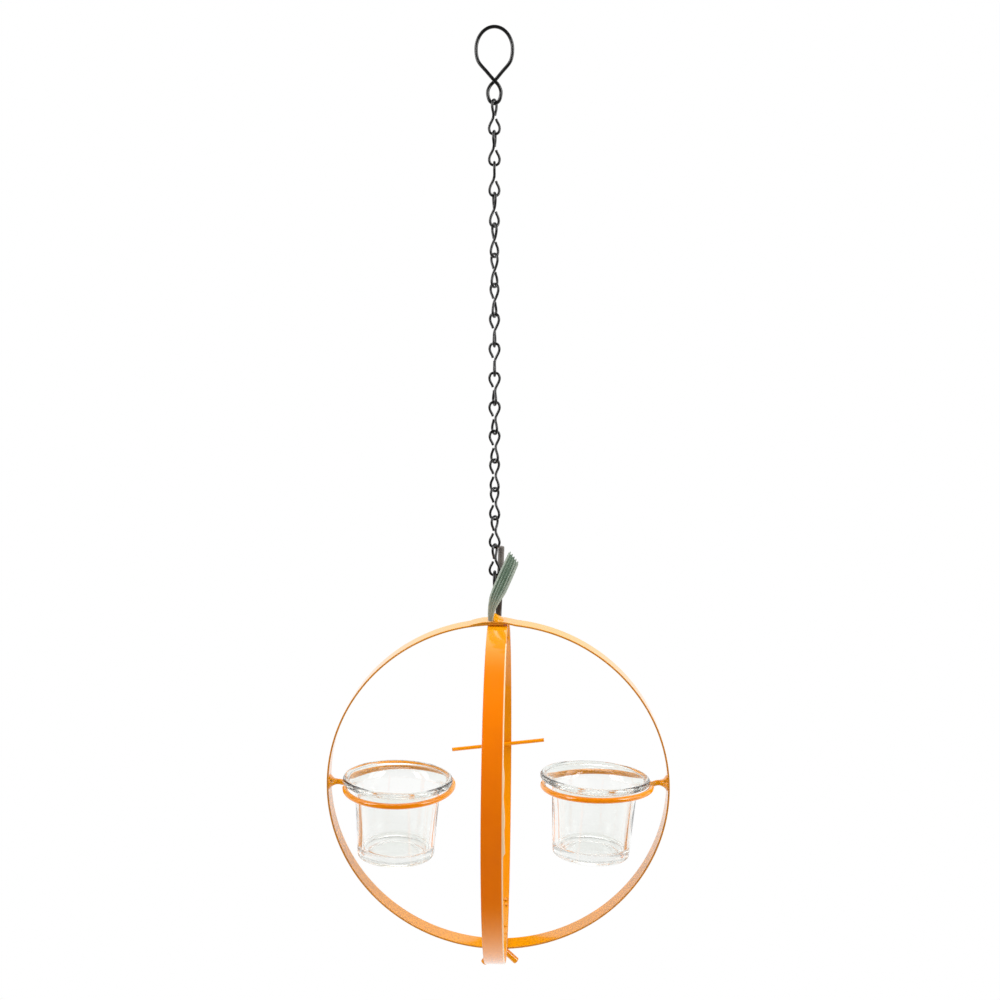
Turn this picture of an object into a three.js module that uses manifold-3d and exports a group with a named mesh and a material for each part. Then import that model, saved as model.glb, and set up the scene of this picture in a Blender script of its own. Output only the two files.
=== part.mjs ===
// Hanging bird waterer: two crossed steel hoops shaped like an orange, with a stem and a leaf,
// two lift-out glass cups in wire rings, and a chain with a figure-eight hook.
// Millimetres, +Z up, origin at the inside top of the hook where a nail or branch carries it.
import * as THREE from "three";
import { mergeVertices } from "three/addons/utils/BufferGeometryUtils.js";
import Module from "manifold-3d";

const wasm = await Module();
wasm.setup();

// Clearances between pieces that hang or rest on each other, and between welded pieces
const FIT_GAP = 0.3;
const WELD_GAP = 0.2;

// Hoops: flat strip rolled into circles, the side hoop with lapped ends
const HOOP_RADIUS = 110;
const STRIP_WIDTH = 12.7;
const STRIP_THICKNESS = 1.2;
const HOOP_SIDES = 72;
const LAP_START_DEG = 98.8;
const LAP_END_DEG = 88;

// Hook: one wire bent into a large loop over a small eye, drops measured from the loop's inside top
const HOOK_WIRE = 2.1;
const HOOK_LOOP_INSIDE = 19.2;
const HOOK_LOOP_WIDEST_DROP = 11.6;
const HOOK_CROSSING_DROP = 29.3;
const HOOK_EYE_INSIDE = 5.7;
const HOOK_EYE_BOTTOM_DROP = 41;

// Chain: figure-eight links with the two loops of each link nearly at right angles
const LINK_COUNT = 16;
const LINK_PITCH = 17.8;
const LINK_WIRE = 1.6;
const LINK_LOOP_INSIDE = 4.6;
const LINK_LOOP_TURN_DEG = 68;
const LINK_TWIST_DEG = 12;

// Stem, and the eye before it that hangs on the chain, heights measured from the lapped strip
const STEM_RADIUS = 1.95;
const STEM_LENGTH = 46;
const STEM_TOP_BEVEL = 0.6;
const STEM_LEAN_DEG = 2.4;
const STEM_FOOT_X = 0.2;
const STEM_FOOT_Y = 4.2;
const EYE_CONTACT_RISE = 29.8;
const EYE_WIRE = 2;
const EYE_INSIDE = 7;
const EYE_STEM_GAP = 0.25;
const EYE_BEFORE_STEM = 6;
const EYE_SHANK_RADIUS = 0.8;

// Leaf: ribbed sheet
const LEAF_THICKNESS = 0.8;
const LEAF_RIB_DEPTH = 0.55;
const LEAF_RIBS = 5;
const LEAF_ROWS = 12;
const LEAF_HALF_WIDTH = 4.5;
const LEAF_FOOT_HALF_WIDTH = 1.5;
const LEAF_FOOT_X = -4.5;
const LEAF_FOOT_Y = -5.2;
const LEAF_REACH = 14.8;
const LEAF_RISE = 41.4;
const LEAF_TIP_SLANT = 4.6;
const LEAF_TIP_STEP = 0.7;

// Weld mound on top
const MOUND_RADIUS = 5.2;
const MOUND_HEIGHT = 5;
const MOUND_EDGE = 0.5;
const MOUND_X = -0.4;
const MOUND_Y = 0.6;

// Cup rings, and the arms that carry them from the side hoop
const RING_HEIGHT_LEFT = -0.2;
const RING_HEIGHT_RIGHT = 1.5;
const RING_RADIUS = 34.8;
const RING_WIRE = 3.6;
const RING_TILT_LEFT_DEG = 0.5;
const RING_TILT_RIGHT_DEG = 6.6;
const RING_OPEN_DEG = 8;
const RING_BEND_DEG = 12;
const ARM_LENGTH = 9.6;
const ARM_RISE = 2.2;
const ARM_WELD_RADIUS = 5.4;
const ARM_WELD_LENGTH = 4.4;
const ARM_WELD_EDGE = 0.6;

// How the cups sit in the rings: tilts front edge up like those of the rings, rolls right side down,
// shifts from the ring's centre, and how far the lips then stand above the rings
const CUP_TILT_LEFT_DEG = 3.4;
const CUP_TILT_RIGHT_DEG = 6.2;
const CUP_ROLL_LEFT_DEG = 2;
const CUP_ROLL_RIGHT_DEG = 3;
const CUP_SHIFT_LEFT_X = -0.4;
const CUP_SHIFT_LEFT_Y = -2.8;
const CUP_SHIFT_RIGHT_X = -1.5;
const CUP_SHIFT_RIGHT_Y = 0;
const CUP_RAISE_LEFT = 1.7;
const CUP_RAISE_RIGHT = 1.4;

// Glass cups, heights measured from the foot
const CUP_HEIGHT = 52;
const CUP_LIP_THICKNESS = 3.6;
const CUP_LIP_ROUND = 1.7;
const CUP_LIP_OVERHANG = 0.4;
const CUP_RING_CLEARANCE = 5.7;
const CUP_FLARE_HEIGHT = 7;
const CUP_TAPER = 2.5;
const CUP_WALL = 3;
const CUP_FLOOR = 6;
const CUP_FOOT_ROUND = 1.8;
const CUP_FOOT_RIM = 3.4;
const CUP_FOOT_RECESS = 0.9;
const CUP_STEPS = 28;

// Perch rod on the inside of the rear strip
const PERCH_RADIUS = 1.35;
const PERCH_LENGTH = 67;
const PERCH_CENTRE_X = -3.3;
const PERCH_HEIGHT = -11.5;
const PERCH_TILT_DEG = 6.9;

// Bent wire fork under the crossing of the hoops, drops measured from its top
const FORK_WIRE = 4.4;
const FORK_LEFT_REACH = 9.5;
const FORK_LEFT_DROP = 10.8;
const FORK_RIGHT_REACH = 12.3;
const FORK_RIGHT_DROP = 9.3;

const rad = THREE.MathUtils.degToRad;
const vec = (x, y, z) => new THREE.Vector3(x, y, z);

// Distance from a hoop's centre to the flats of its inside at a given height
function insideFace(radius, height) {
  return Math.sqrt(radius ** 2 - height ** 2) * Math.cos(Math.PI / HOOP_SIDES);
}

// Sizes that follow from the ones above
const HOOP_INSIDE = HOOP_RADIUS - STRIP_THICKNESS;
const CROSS_HOOP_RADIUS = insideFace(HOOP_INSIDE, STRIP_WIDTH / 2) - WELD_GAP;
const CROSS_HOOP_INSIDE = CROSS_HOOP_RADIUS - STRIP_THICKNESS;
const LAP_TOP = HOOP_RADIUS + STRIP_THICKNESS;
const EYE_RADIUS = (EYE_INSIDE + EYE_WIRE) / 2;
const EYE_CONTACT_HEIGHT = LAP_TOP + EYE_CONTACT_RISE;
const EYE_CENTRE_HEIGHT = EYE_CONTACT_HEIGHT + (FIT_GAP + EYE_WIRE) / 2 - EYE_RADIUS;
const STEM_AT_EYE_X = STEM_FOOT_X + Math.sin(rad(STEM_LEAN_DEG)) * (EYE_CENTRE_HEIGHT - LAP_TOP);
const EYE_X = STEM_AT_EYE_X - STEM_RADIUS - EYE_STEM_GAP - EYE_WIRE / 2;
const EYE_Y = STEM_FOOT_Y - EYE_BEFORE_STEM;
const GLOBE_Z = -HOOK_EYE_BOTTOM_DROP - LINK_COUNT * LINK_PITCH - EYE_CONTACT_HEIGHT;
const LEAF_DEPTH = LEAF_THICKNESS + LEAF_RIB_DEPTH;
const LEAF_FRONT_Y = EYE_Y - EYE_RADIUS - EYE_WIRE / 2 - FIT_GAP - LEAF_DEPTH / 2;
const ARM_HEIGHT = Math.max(RING_HEIGHT_LEFT, RING_HEIGHT_RIGHT) + ARM_RISE;
const ARM_END = insideFace(HOOP_INSIDE, ARM_HEIGHT + RING_WIRE / 2) - WELD_GAP;
const ARM_WELD_END = insideFace(HOOP_INSIDE, ARM_HEIGHT + ARM_WELD_RADIUS) - WELD_GAP;
const RING_CENTRE_X = ARM_END - ARM_LENGTH - RING_RADIUS;
const CUP_RIM_RADIUS = RING_RADIUS + CUP_LIP_OVERHANG;
const CUP_SEAT = RING_WIRE / 2 + WELD_GAP;
const CUP_WALL_RADIUS = RING_RADIUS - RING_WIRE / 2 - CUP_RING_CLEARANCE;
const CUP_FOOT_RADIUS = CUP_WALL_RADIUS - CUP_TAPER;
const CUP_LIP_UNDERSIDE = CUP_HEIGHT - CUP_LIP_THICKNESS;
const CUP_NECK_HEIGHT = CUP_LIP_UNDERSIDE - CUP_FLARE_HEIGHT;

// Materials
const material = (color, roughness, metalness) =>
  new THREE.MeshStandardMaterial({ color, roughness, metalness });
const orangePaint = material(0xf28a05, 0.3, 0);
const blackWire = material(0x1c1c1c, 0.45, 0.6);
const brownPaint = material(0x6a6058, 0.5, 0);
const greenPaint = material(0x5c7f62, 0.5, 0);
const clearGlass = material(0xe8f0ec, 0.05, 0);

const part = new THREE.Group();
const globe = new THREE.Group();
globe.position.set(-EYE_X, -EYE_Y, GLOBE_Z);
part.add(globe);

function add(parent, name, geometry, look) {
  const mesh = new THREE.Mesh(geometry, look);
  mesh.name = name;
  parent.add(mesh);
  return mesh;
}

// A geometry with shared corners and no zero-area faces
function clean(source) {
  const bare = source.index ? source.toNonIndexed() : source.clone();
  bare.deleteAttribute("normal");
  bare.deleteAttribute("uv");
  const merged = mergeVertices(bare, 1e-3);
  const kept = [];
  const corners = merged.index.array;
  for (let i = 0; i < corners.length; i += 3) {
    const [a, b, c] = [corners[i], corners[i + 1], corners[i + 2]];
    if (a !== b && b !== c && c !== a) kept.push(a, b, c);
  }
  merged.setIndex(kept);
  return merged;
}

function toSolid(geometry) {
  const shared = clean(geometry);
  return new wasm.Manifold(
    new wasm.Mesh({
      numProp: 3,
      vertProperties: new Float32Array(shared.attributes.position.array),
      triVerts: new Uint32Array(shared.index.array),
    }),
  );
}

function fromSolid(solid) {
  const mesh = solid.getMesh();
  const geometry = new THREE.BufferGeometry();
  geometry.setAttribute("position", new THREE.BufferAttribute(mesh.vertProperties, 3));
  geometry.setIndex(new THREE.BufferAttribute(mesh.triVerts, 1));
  return geometry;
}

function circle(radius, count) {
  return Array.from({ length: count }, (_, i) => {
    const turn = (2 * Math.PI * i) / count;
    return [radius * Math.cos(turn), radius * Math.sin(turn)];
  });
}

const flat = (points) => points.map(([x, y]) => new THREE.Vector2(x, y));

// Round wire of one diameter along a smooth curve through the given points
function wire(points, diameter, sides, steps) {
  const section = new THREE.Shape(flat(circle(diameter / 2, sides)));
  const path = new THREE.CatmullRomCurve3(points, false, "centripetal");
  return clean(
    new THREE.ExtrudeGeometry(section, { steps, extrudePath: path, bevelEnabled: false }),
  );
}

// A flat outline in X and Z, given depth along Y and centred on Y = 0
function plate(outline, depth, hole) {
  const shape = new THREE.Shape(flat(outline));
  if (hole) shape.holes.push(new THREE.Path(flat(hole)));
  const solid = new THREE.ExtrudeGeometry(shape, { depth, bevelEnabled: false });
  solid.rotateX(Math.PI / 2);
  solid.translate(0, depth / 2, 0);
  return clean(solid);
}

// A turned body about Z from a profile of radius and height pairs
function turned(profile, steps) {
  const solid = new THREE.LatheGeometry(flat(profile), steps);
  solid.rotateX(Math.PI / 2);
  return clean(solid);
}

// Hanging hook: the wire crosses itself between the loop and the eye, one strand before the other
function hookPoints() {
  const top = HOOK_WIRE / 2;
  const cross = -HOOK_CROSSING_DROP;
  const bottom = -HOOK_EYE_BOTTOM_DROP - (FIT_GAP + HOOK_WIRE) / 2;
  const eyeHalf = (cross - bottom) / 2;
  const neck = -HOOK_LOOP_WIDEST_DROP - cross;
  const crown = top + HOOK_LOOP_WIDEST_DROP;
  const wide = (HOOK_LOOP_INSIDE + HOOK_WIRE) / 2;
  const eye = (HOOK_EYE_INSIDE + HOOK_WIRE) / 2;
  const apart = (HOOK_WIRE + FIT_GAP) / 2;
  return [
    vec(-0.12 * eye, apart, cross - 0.08 * eyeHalf),
    vec(-0.66 * eye, 0.85 * apart, bottom + 1.56 * eyeHalf),
    vec(-eye, 0.3 * apart, bottom + eyeHalf),
    vec(-0.67 * eye, 0, bottom + 0.22 * eyeHalf),
    vec(0, 0, bottom),
    vec(0.67 * eye, 0, bottom + 0.22 * eyeHalf),
    vec(eye, -0.3 * apart, bottom + eyeHalf),
    vec(0.67 * eye, -0.8 * apart, bottom + 1.56 * eyeHalf),
    vec(0, -apart, cross),
    vec(-0.41 * wide, -0.8 * apart, cross + 0.28 * neck),
    vec(-0.89 * wide, -0.3 * apart, cross + 0.63 * neck),
    vec(-wide, 0, cross + neck),
    vec(-0.77 * wide, 0, top - 0.355 * crown),
    vec(0, 0, top),
    vec(0.77 * wide, 0, top - 0.355 * crown),
    vec(wide, 0, cross + neck),
    vec(0.89 * wide, 0.3 * apart, cross + 0.63 * neck),
    vec(0.41 * wide, 0.8 * apart, cross + 0.28 * neck),
    vec(0.05 * wide, apart, cross + 0.03 * neck),
  ];
}
add(part, "hanging_hook", wire(hookPoints(), HOOK_WIRE, 8, 56), blackWire);

// Chain links, each turned a little further about the chain than the one above
function linkPoints() {
  const wide = (LINK_LOOP_INSIDE + LINK_WIRE) / 2;
  const end = (LINK_PITCH + FIT_GAP + LINK_WIRE) / 2;
  const loop = [
    [0.32 * wide, 0.1 * end],
    [0.5 * wide, 0.25 * end],
    [0.85 * wide, 0.45 * end],
    [wide, 0.68 * end],
    [0.72 * wide, 0.915 * end],
    [0, end],
    [-0.72 * wide, 0.915 * end],
    [-wide, 0.68 * end],
    [-0.85 * wide, 0.45 * end],
    [-0.45 * wide, 0.2 * end],
  ];
  const turn = rad(LINK_LOOP_TURN_DEG);
  const upper = loop.map(([side, height]) => vec(side * Math.cos(turn), side * Math.sin(turn), height));
  const lower = loop.map(([side, height]) => vec(side, 0, -height)).reverse();
  return [...upper, vec(-0.2 * wide, -0.13 * wide, 0), ...lower];
}
const linkShape = wire(linkPoints(), LINK_WIRE, 6, 32);
for (let i = 0; i < LINK_COUNT; i += 1) {
  const name = "chain_link_" + String(i + 1).padStart(2, "0");
  const link = add(part, name, linkShape, blackWire);
  link.position.z = -HOOK_EYE_BOTTOM_DROP - (i + 0.5) * LINK_PITCH;
  link.rotation.z = rad(LINK_TWIST_DEG * i);
}

// Side hoop in the plane of the cups, its ends lapped beside the stem
function sideHoopOutline() {
  const start = rad(LAP_START_DEG);
  const end = rad(LAP_END_DEG);
  const outline = [];
  const at = (radius, turn) => outline.push([radius * Math.cos(turn), radius * Math.sin(turn)]);
  at(LAP_TOP, end);
  at(LAP_TOP, (start + end) / 2);
  at(LAP_TOP, start);
  const count = HOOP_SIDES - 2;
  for (let i = 0; i <= count; i += 1) {
    at(HOOP_RADIUS, start + ((2 * Math.PI - start + end) * i) / count);
  }
  return outline;
}
const sideHole = circle(HOOP_INSIDE, HOOP_SIDES);
add(globe, "side_hoop", plate(sideHoopOutline(), STRIP_WIDTH, sideHole), orangePaint);

// Cross hoop from front to back, nested inside the side hoop
const crossHole = circle(CROSS_HOOP_INSIDE, HOOP_SIDES);
const crossHoop = plate(circle(CROSS_HOOP_RADIUS, HOOP_SIDES), STRIP_WIDTH, crossHole);
crossHoop.rotateZ(Math.PI / 2);
add(globe, "cross_hoop", crossHoop, orangePaint);

// Stem standing on the lapped strip
const stem = turned(
  [
    [0, 0],
    [STEM_RADIUS, 0],
    [STEM_RADIUS, STEM_LENGTH - STEM_TOP_BEVEL],
    [STEM_RADIUS - STEM_TOP_BEVEL, STEM_LENGTH],
    [0, STEM_LENGTH],
  ],
  16,
);
stem.rotateY(rad(STEM_LEAN_DEG));
stem.translate(STEM_FOOT_X, STEM_FOOT_Y, LAP_TOP + FIT_GAP);
add(globe, "stem", stem, brownPaint);

// Hanging eye: a wire ring with a short shank that reaches the stem
const eyeRing = new THREE.TorusGeometry(EYE_RADIUS, EYE_WIRE / 2, 8, 24);
eyeRing.rotateY(Math.PI / 2);
eyeRing.translate(EYE_X, EYE_Y, EYE_CENTRE_HEIGHT);
const shankFoot = vec(EYE_X, EYE_Y + EYE_RADIUS, EYE_CENTRE_HEIGHT);
const shankWay = vec(STEM_AT_EYE_X, STEM_FOOT_Y, EYE_CENTRE_HEIGHT).sub(shankFoot);
const shankLength = shankWay.length() - STEM_RADIUS - WELD_GAP;
const shank = new THREE.CylinderGeometry(EYE_SHANK_RADIUS, EYE_SHANK_RADIUS, shankLength, 8);
shank.translate(0, shankLength / 2, 0);
shank.rotateZ(-Math.atan2(shankWay.x, shankWay.y));
shank.translate(shankFoot.x, shankFoot.y, shankFoot.z);
add(globe, "stem_eye", fromSolid(toSolid(eyeRing).add(toSolid(shank))), blackWire);

// Leaf: a ribbed sheet that rises from the lapped strip before the eye and leans to the right.
// Each row of shares gives how far it has gone sideways, forwards, upwards and to its full width.
const leafShares = [
  [0, 0, 0, 0],
  [0.06, 0.58, 0.19, 0.27],
  [0.21, 1, 0.36, 0.75],
  [0.4, 1, 0.51, 1],
  [0.71, 1, 0.765, 1],
  [1, 1, 1, 0.92],
];
function leafHalfWidth(along) {
  const last = leafShares.length - 1;
  const i = Math.min(Math.floor(along * last), last - 1);
  const share = THREE.MathUtils.lerp(leafShares[i][3], leafShares[i + 1][3], along * last - i);
  return THREE.MathUtils.lerp(LEAF_FOOT_HALF_WIDTH, LEAF_HALF_WIDTH, share);
}
function leafGeometry() {
  const middle = new THREE.CatmullRomCurve3(
    leafShares.map(([sideways, forwards, upwards]) =>
      vec(
        LEAF_FOOT_X + sideways * LEAF_REACH,
        THREE.MathUtils.lerp(LEAF_FOOT_Y, LEAF_FRONT_Y, forwards),
        LAP_TOP + FIT_GAP + upwards * LEAF_RISE,
      ),
    ),
  );
  const columns = 2 * LEAF_RIBS;
  const front = [];
  const back = [];
  for (let r = 0; r <= LEAF_ROWS; r += 1) {
    const along = r / LEAF_ROWS;
    const centre = middle.getPoint(along);
    const tangent = middle.getTangent(along);
    const across = vec(tangent.z, 0, -tangent.x).normalize();
    const face = across.clone().cross(tangent).normalize();
    const half = leafHalfWidth(along);
    const nearTip = Math.max(0, 3 * along - 2);
    for (let c = 0; c <= columns; c += 1) {
      const side = (2 * c) / columns - 1;
      const ridge = c % 2 ? 1 : -1;
      const tip = ridge * LEAF_TIP_STEP - 0.5 * LEAF_TIP_SLANT * side;
      const depth = (0.5 * ridge * LEAF_RIB_DEPTH * half) / LEAF_HALF_WIDTH;
      const point = centre.clone().addScaledVector(across, side * half);
      point.addScaledVector(tangent, nearTip * tip);
      front.push(point.clone().addScaledVector(face, depth + LEAF_THICKNESS / 2));
      back.push(point.clone().addScaledVector(face, depth - LEAF_THICKNESS / 2));
    }
  }
  const stride = columns + 1;
  const count = front.length;
  const faces = [];
  const quad = (a, b, c, d) => faces.push(a, b, c, a, c, d);
  for (let r = 0; r < LEAF_ROWS; r += 1) {
    for (let c = 0; c < columns; c += 1) {
      const a = r * stride + c;
      quad(a, a + 1, a + stride + 1, a + stride);
      quad(count + a, count + a + stride, count + a + stride + 1, count + a + 1);
    }
    const left = r * stride;
    const right = left + columns;
    quad(left, left + stride, count + left + stride, count + left);
    quad(right, count + right, count + right + stride, right + stride);
  }
  for (let c = 0; c < columns; c += 1) {
    const top = LEAF_ROWS * stride + c;
    quad(c, count + c, count + c + 1, c + 1);
    quad(top, top + 1, count + top + 1, count + top);
  }
  const geometry = new THREE.BufferGeometry();
  geometry.setFromPoints([...front, ...back]);
  geometry.setIndex(faces);
  return clean(geometry);
}
add(globe, "leaf", leafGeometry(), greenPaint);

// Weld mound between leaf and stem, with room left for the stem
const mound = turned(
  [
    [0, 0],
    [MOUND_RADIUS, 0],
    [MOUND_RADIUS, MOUND_EDGE],
    [0.55 * MOUND_RADIUS, 0.35 * MOUND_HEIGHT],
    [0.3 * MOUND_RADIUS, MOUND_HEIGHT],
    [0, MOUND_HEIGHT],
  ],
  20,
);
mound.translate(MOUND_X, MOUND_Y, LAP_TOP + WELD_GAP);
const stemRoomRadius = STEM_RADIUS + WELD_GAP;
const stemRoom = new THREE.CylinderGeometry(stemRoomRadius, stemRoomRadius, 4 * MOUND_HEIGHT, 16);
stemRoom.rotateX(Math.PI / 2);
stemRoom.rotateY(rad(STEM_LEAN_DEG));
stemRoom.translate(STEM_FOOT_X, STEM_FOOT_Y, LAP_TOP + FIT_GAP);
add(globe, "top_weld", fromSolid(toSolid(mound).subtract(toSolid(stemRoom))), orangePaint);

// Cup ring: one wire bent round the cup and out to the side hoop, its front end cut short
function ringPoints() {
  const points = [];
  const steps = 30;
  const from = -RING_OPEN_DEG;
  const to = RING_BEND_DEG - 360;
  for (let i = 0; i <= steps; i += 1) {
    const turn = rad(THREE.MathUtils.lerp(from, to, i / steps));
    points.push(vec(RING_RADIUS * Math.cos(turn), RING_RADIUS * Math.sin(turn), 0));
  }
  const straight = ARM_LENGTH - ARM_WELD_LENGTH;
  points.push(vec(RING_RADIUS + 0.125 * straight, 0.1 * RING_RADIUS, 0.12 * ARM_RISE));
  points.push(vec(RING_RADIUS + 0.375 * straight, 0.03 * RING_RADIUS, 0.6 * ARM_RISE));
  points.push(vec(RING_RADIUS + 0.71 * straight, 0, ARM_RISE));
  points.push(vec(RING_RADIUS + straight, 0, ARM_RISE));
  points.push(vec(RING_RADIUS + ARM_LENGTH, 0, ARM_RISE));
  return points;
}

// Weld fillet round the end of an arm, widest against the hoop
const armRoomRadius = RING_WIRE / 2 + WELD_GAP;
const armWeldProfile = [
  [armRoomRadius, 0],
  [ARM_WELD_RADIUS, 0],
  [ARM_WELD_RADIUS, ARM_WELD_EDGE],
  [0.6 * ARM_WELD_RADIUS + 0.06 * armRoomRadius, 0.36 * ARM_WELD_LENGTH],
  [armRoomRadius + 0.13 * (ARM_WELD_RADIUS - armRoomRadius), ARM_WELD_LENGTH],
  [armRoomRadius, ARM_WELD_LENGTH],
  [armRoomRadius, 0],
];

// Glass cup: thick foot, slightly tapered wall, flared neck and rolled lip
function cupProfile() {
  const profile = [
    [0, CUP_FOOT_RECESS],
    [CUP_FOOT_RADIUS - CUP_FOOT_RIM - CUP_FOOT_RECESS, CUP_FOOT_RECESS],
    [CUP_FOOT_RADIUS - CUP_FOOT_RIM, 0],
    [CUP_FOOT_RADIUS - CUP_FOOT_ROUND, 0],
    [CUP_FOOT_RADIUS - 0.3 * CUP_FOOT_ROUND, 0.3 * CUP_FOOT_ROUND],
    [CUP_FOOT_RADIUS, CUP_FOOT_ROUND],
  ];
  const outerFlare = CUP_RIM_RADIUS - CUP_WALL_RADIUS;
  for (const turn of [0, 30, 50, 70, 85].map(rad)) {
    const out = CUP_WALL_RADIUS + outerFlare * (1 - Math.cos(turn));
    profile.push([out, CUP_NECK_HEIGHT + CUP_FLARE_HEIGHT * Math.sin(turn)]);
  }
  const lipHalf = CUP_LIP_THICKNESS / 2;
  profile.push([CUP_RIM_RADIUS, CUP_HEIGHT - lipHalf]);
  profile.push([CUP_RIM_RADIUS - 0.35 * CUP_LIP_ROUND, CUP_HEIGHT - 0.35 * lipHalf]);
  profile.push([CUP_RIM_RADIUS - CUP_LIP_ROUND, CUP_HEIGHT]);
  const bore = CUP_WALL_RADIUS - CUP_WALL;
  const innerFlare = CUP_RIM_RADIUS - CUP_LIP_ROUND - bore;
  for (const turn of [72, 50, 28, 0].map(rad)) {
    const out = bore + innerFlare * (1 - Math.cos(turn));
    profile.push([out, CUP_NECK_HEIGHT + (CUP_HEIGHT - CUP_NECK_HEIGHT) * Math.sin(turn)]);
  }
  profile.push([CUP_FOOT_RADIUS - CUP_WALL, CUP_FLOOR + CUP_FOOT_ROUND]);
  profile.push([CUP_FOOT_RADIUS - CUP_WALL - CUP_FOOT_ROUND, CUP_FLOOR]);
  profile.push([0, CUP_FLOOR]);
  return profile;
}

// The two cup stations, each in the tilted plane of its ring. The cups hang loosely and askew,
// so a lip touches its ring at one side and stands off at the other.
for (const { name, side, height, tilt, cupTilt, roll, shift, raise } of [
  {
    name: "left",
    side: -1,
    height: RING_HEIGHT_LEFT,
    tilt: RING_TILT_LEFT_DEG,
    cupTilt: CUP_TILT_LEFT_DEG,
    roll: CUP_ROLL_LEFT_DEG,
    shift: [CUP_SHIFT_LEFT_X, CUP_SHIFT_LEFT_Y],
    raise: CUP_RAISE_LEFT,
  },
  {
    name: "right",
    side: 1,
    height: RING_HEIGHT_RIGHT,
    tilt: RING_TILT_RIGHT_DEG,
    cupTilt: CUP_TILT_RIGHT_DEG,
    roll: CUP_ROLL_RIGHT_DEG,
    shift: [CUP_SHIFT_RIGHT_X, CUP_SHIFT_RIGHT_Y],
    raise: CUP_RAISE_RIGHT,
  },
]) {
  const holder = new THREE.Group();
  holder.position.set(side * RING_CENTRE_X, 0, height);
  holder.rotation.x = -rad(tilt);
  globe.add(holder);
  const ring = add(holder, name + "_cup_ring", wire(ringPoints(), RING_WIRE, 8, 46), orangePaint);
  ring.scale.x = side;
  const cupShape = turned(cupProfile(), CUP_STEPS);
  cupShape.translate(0, 0, -CUP_LIP_UNDERSIDE);
  const cup = add(holder, name + "_glass_cup", cupShape, clearGlass);
  cup.rotation.x = -rad(cupTilt - tilt);
  cup.rotation.y = rad(roll);
  cup.position.set(shift[0], shift[1], CUP_SEAT + raise);
  const weld = turned(armWeldProfile, 16);
  weld.rotateY((-side * Math.PI) / 2);
  weld.translate(side * (ARM_WELD_END - RING_CENTRE_X), 0, ARM_RISE);
  add(holder, name + "_arm_weld", weld, orangePaint);
}

// Perch rod welded across the inside of the rear strip
const perchReach = PERCH_RADIUS + (STRIP_WIDTH / 2) * Math.sin(rad(PERCH_TILT_DEG));
const perchFace = insideFace(CROSS_HOOP_INSIDE, Math.abs(PERCH_HEIGHT) + perchReach);
const perch = new THREE.CylinderGeometry(PERCH_RADIUS, PERCH_RADIUS, PERCH_LENGTH, 12);
perch.rotateZ(Math.PI / 2);
perch.rotateY(-rad(PERCH_TILT_DEG));
perch.translate(PERCH_CENTRE_X, perchFace - PERCH_RADIUS - WELD_GAP, PERCH_HEIGHT);
add(globe, "perch_rod", clean(perch), orangePaint);

// Bent wire fork under the hoops
const forkTop = -HOOP_RADIUS - WELD_GAP - FORK_WIRE / 2;
const forkPoints = [
  vec(-FORK_LEFT_REACH, 0, forkTop - FORK_LEFT_DROP),
  vec(-0.5 * FORK_LEFT_REACH, 0, forkTop - 0.39 * FORK_LEFT_DROP),
  vec(-0.2 * FORK_LEFT_REACH, 0, forkTop - 0.08 * FORK_LEFT_DROP),
  vec(0.06 * FORK_RIGHT_REACH, 0, forkTop),
  vec(0.28 * FORK_RIGHT_REACH, 0, forkTop - 0.12 * FORK_RIGHT_DROP),
  vec(0.57 * FORK_RIGHT_REACH, 0, forkTop - 0.45 * FORK_RIGHT_DROP),
  vec(FORK_RIGHT_REACH, 0, forkTop - FORK_RIGHT_DROP),
];
add(globe, "bottom_fork", wire(forkPoints, FORK_WIRE, 8, 16), orangePaint);

export default part;
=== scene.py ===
# %% [markdown]
# # A hanging bird waterer shaped like an orange
# The real one is bent from steel strip and wire: two crossed hoops make an open globe, a stem and a
# ribbed leaf stand on top, two glass cups hang by their lips in wire rings, and everything hangs on a
# chain with a figure-eight hook. This lesson loads the rigid frame first and then dresses each piece
# of it with a finer shape and a finish, always in the frame's own place.

# %% Load the frame
import math

import bmesh
import bpy
from mathutils import Matrix, Vector, noise


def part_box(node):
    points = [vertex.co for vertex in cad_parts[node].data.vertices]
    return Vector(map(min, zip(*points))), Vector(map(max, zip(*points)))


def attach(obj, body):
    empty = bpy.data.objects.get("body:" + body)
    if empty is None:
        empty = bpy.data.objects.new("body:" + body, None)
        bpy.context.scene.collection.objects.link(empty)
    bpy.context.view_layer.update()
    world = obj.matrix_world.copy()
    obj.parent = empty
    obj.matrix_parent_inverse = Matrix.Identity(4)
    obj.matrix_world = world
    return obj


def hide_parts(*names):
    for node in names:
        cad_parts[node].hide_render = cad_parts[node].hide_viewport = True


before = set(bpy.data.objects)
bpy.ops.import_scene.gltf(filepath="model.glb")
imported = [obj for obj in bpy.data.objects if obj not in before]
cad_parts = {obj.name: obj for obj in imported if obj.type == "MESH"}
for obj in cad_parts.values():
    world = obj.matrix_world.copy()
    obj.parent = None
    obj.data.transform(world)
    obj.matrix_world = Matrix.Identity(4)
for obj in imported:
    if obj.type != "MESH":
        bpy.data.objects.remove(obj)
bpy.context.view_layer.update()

# %% [markdown]
# ## Places in the frame
# The frame is in metres, but a maker of such small things thinks in millimetres, so the shapes below
# are given in millimetres and scaled once when a mesh is made. The middle of the globe could be typed
# in, but it is safer to measure it: the cross hoop is a full circle, so its box is centred on it.

# %% Find the middle of the globe
MM = 0.001
hoop_low, hoop_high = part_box("cross_hoop")
GLOBE = (Vector(hoop_low) + Vector(hoop_high)) / (2 * MM)
print("middle of the globe in mm", [round(v, 2) for v in GLOBE])

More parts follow.
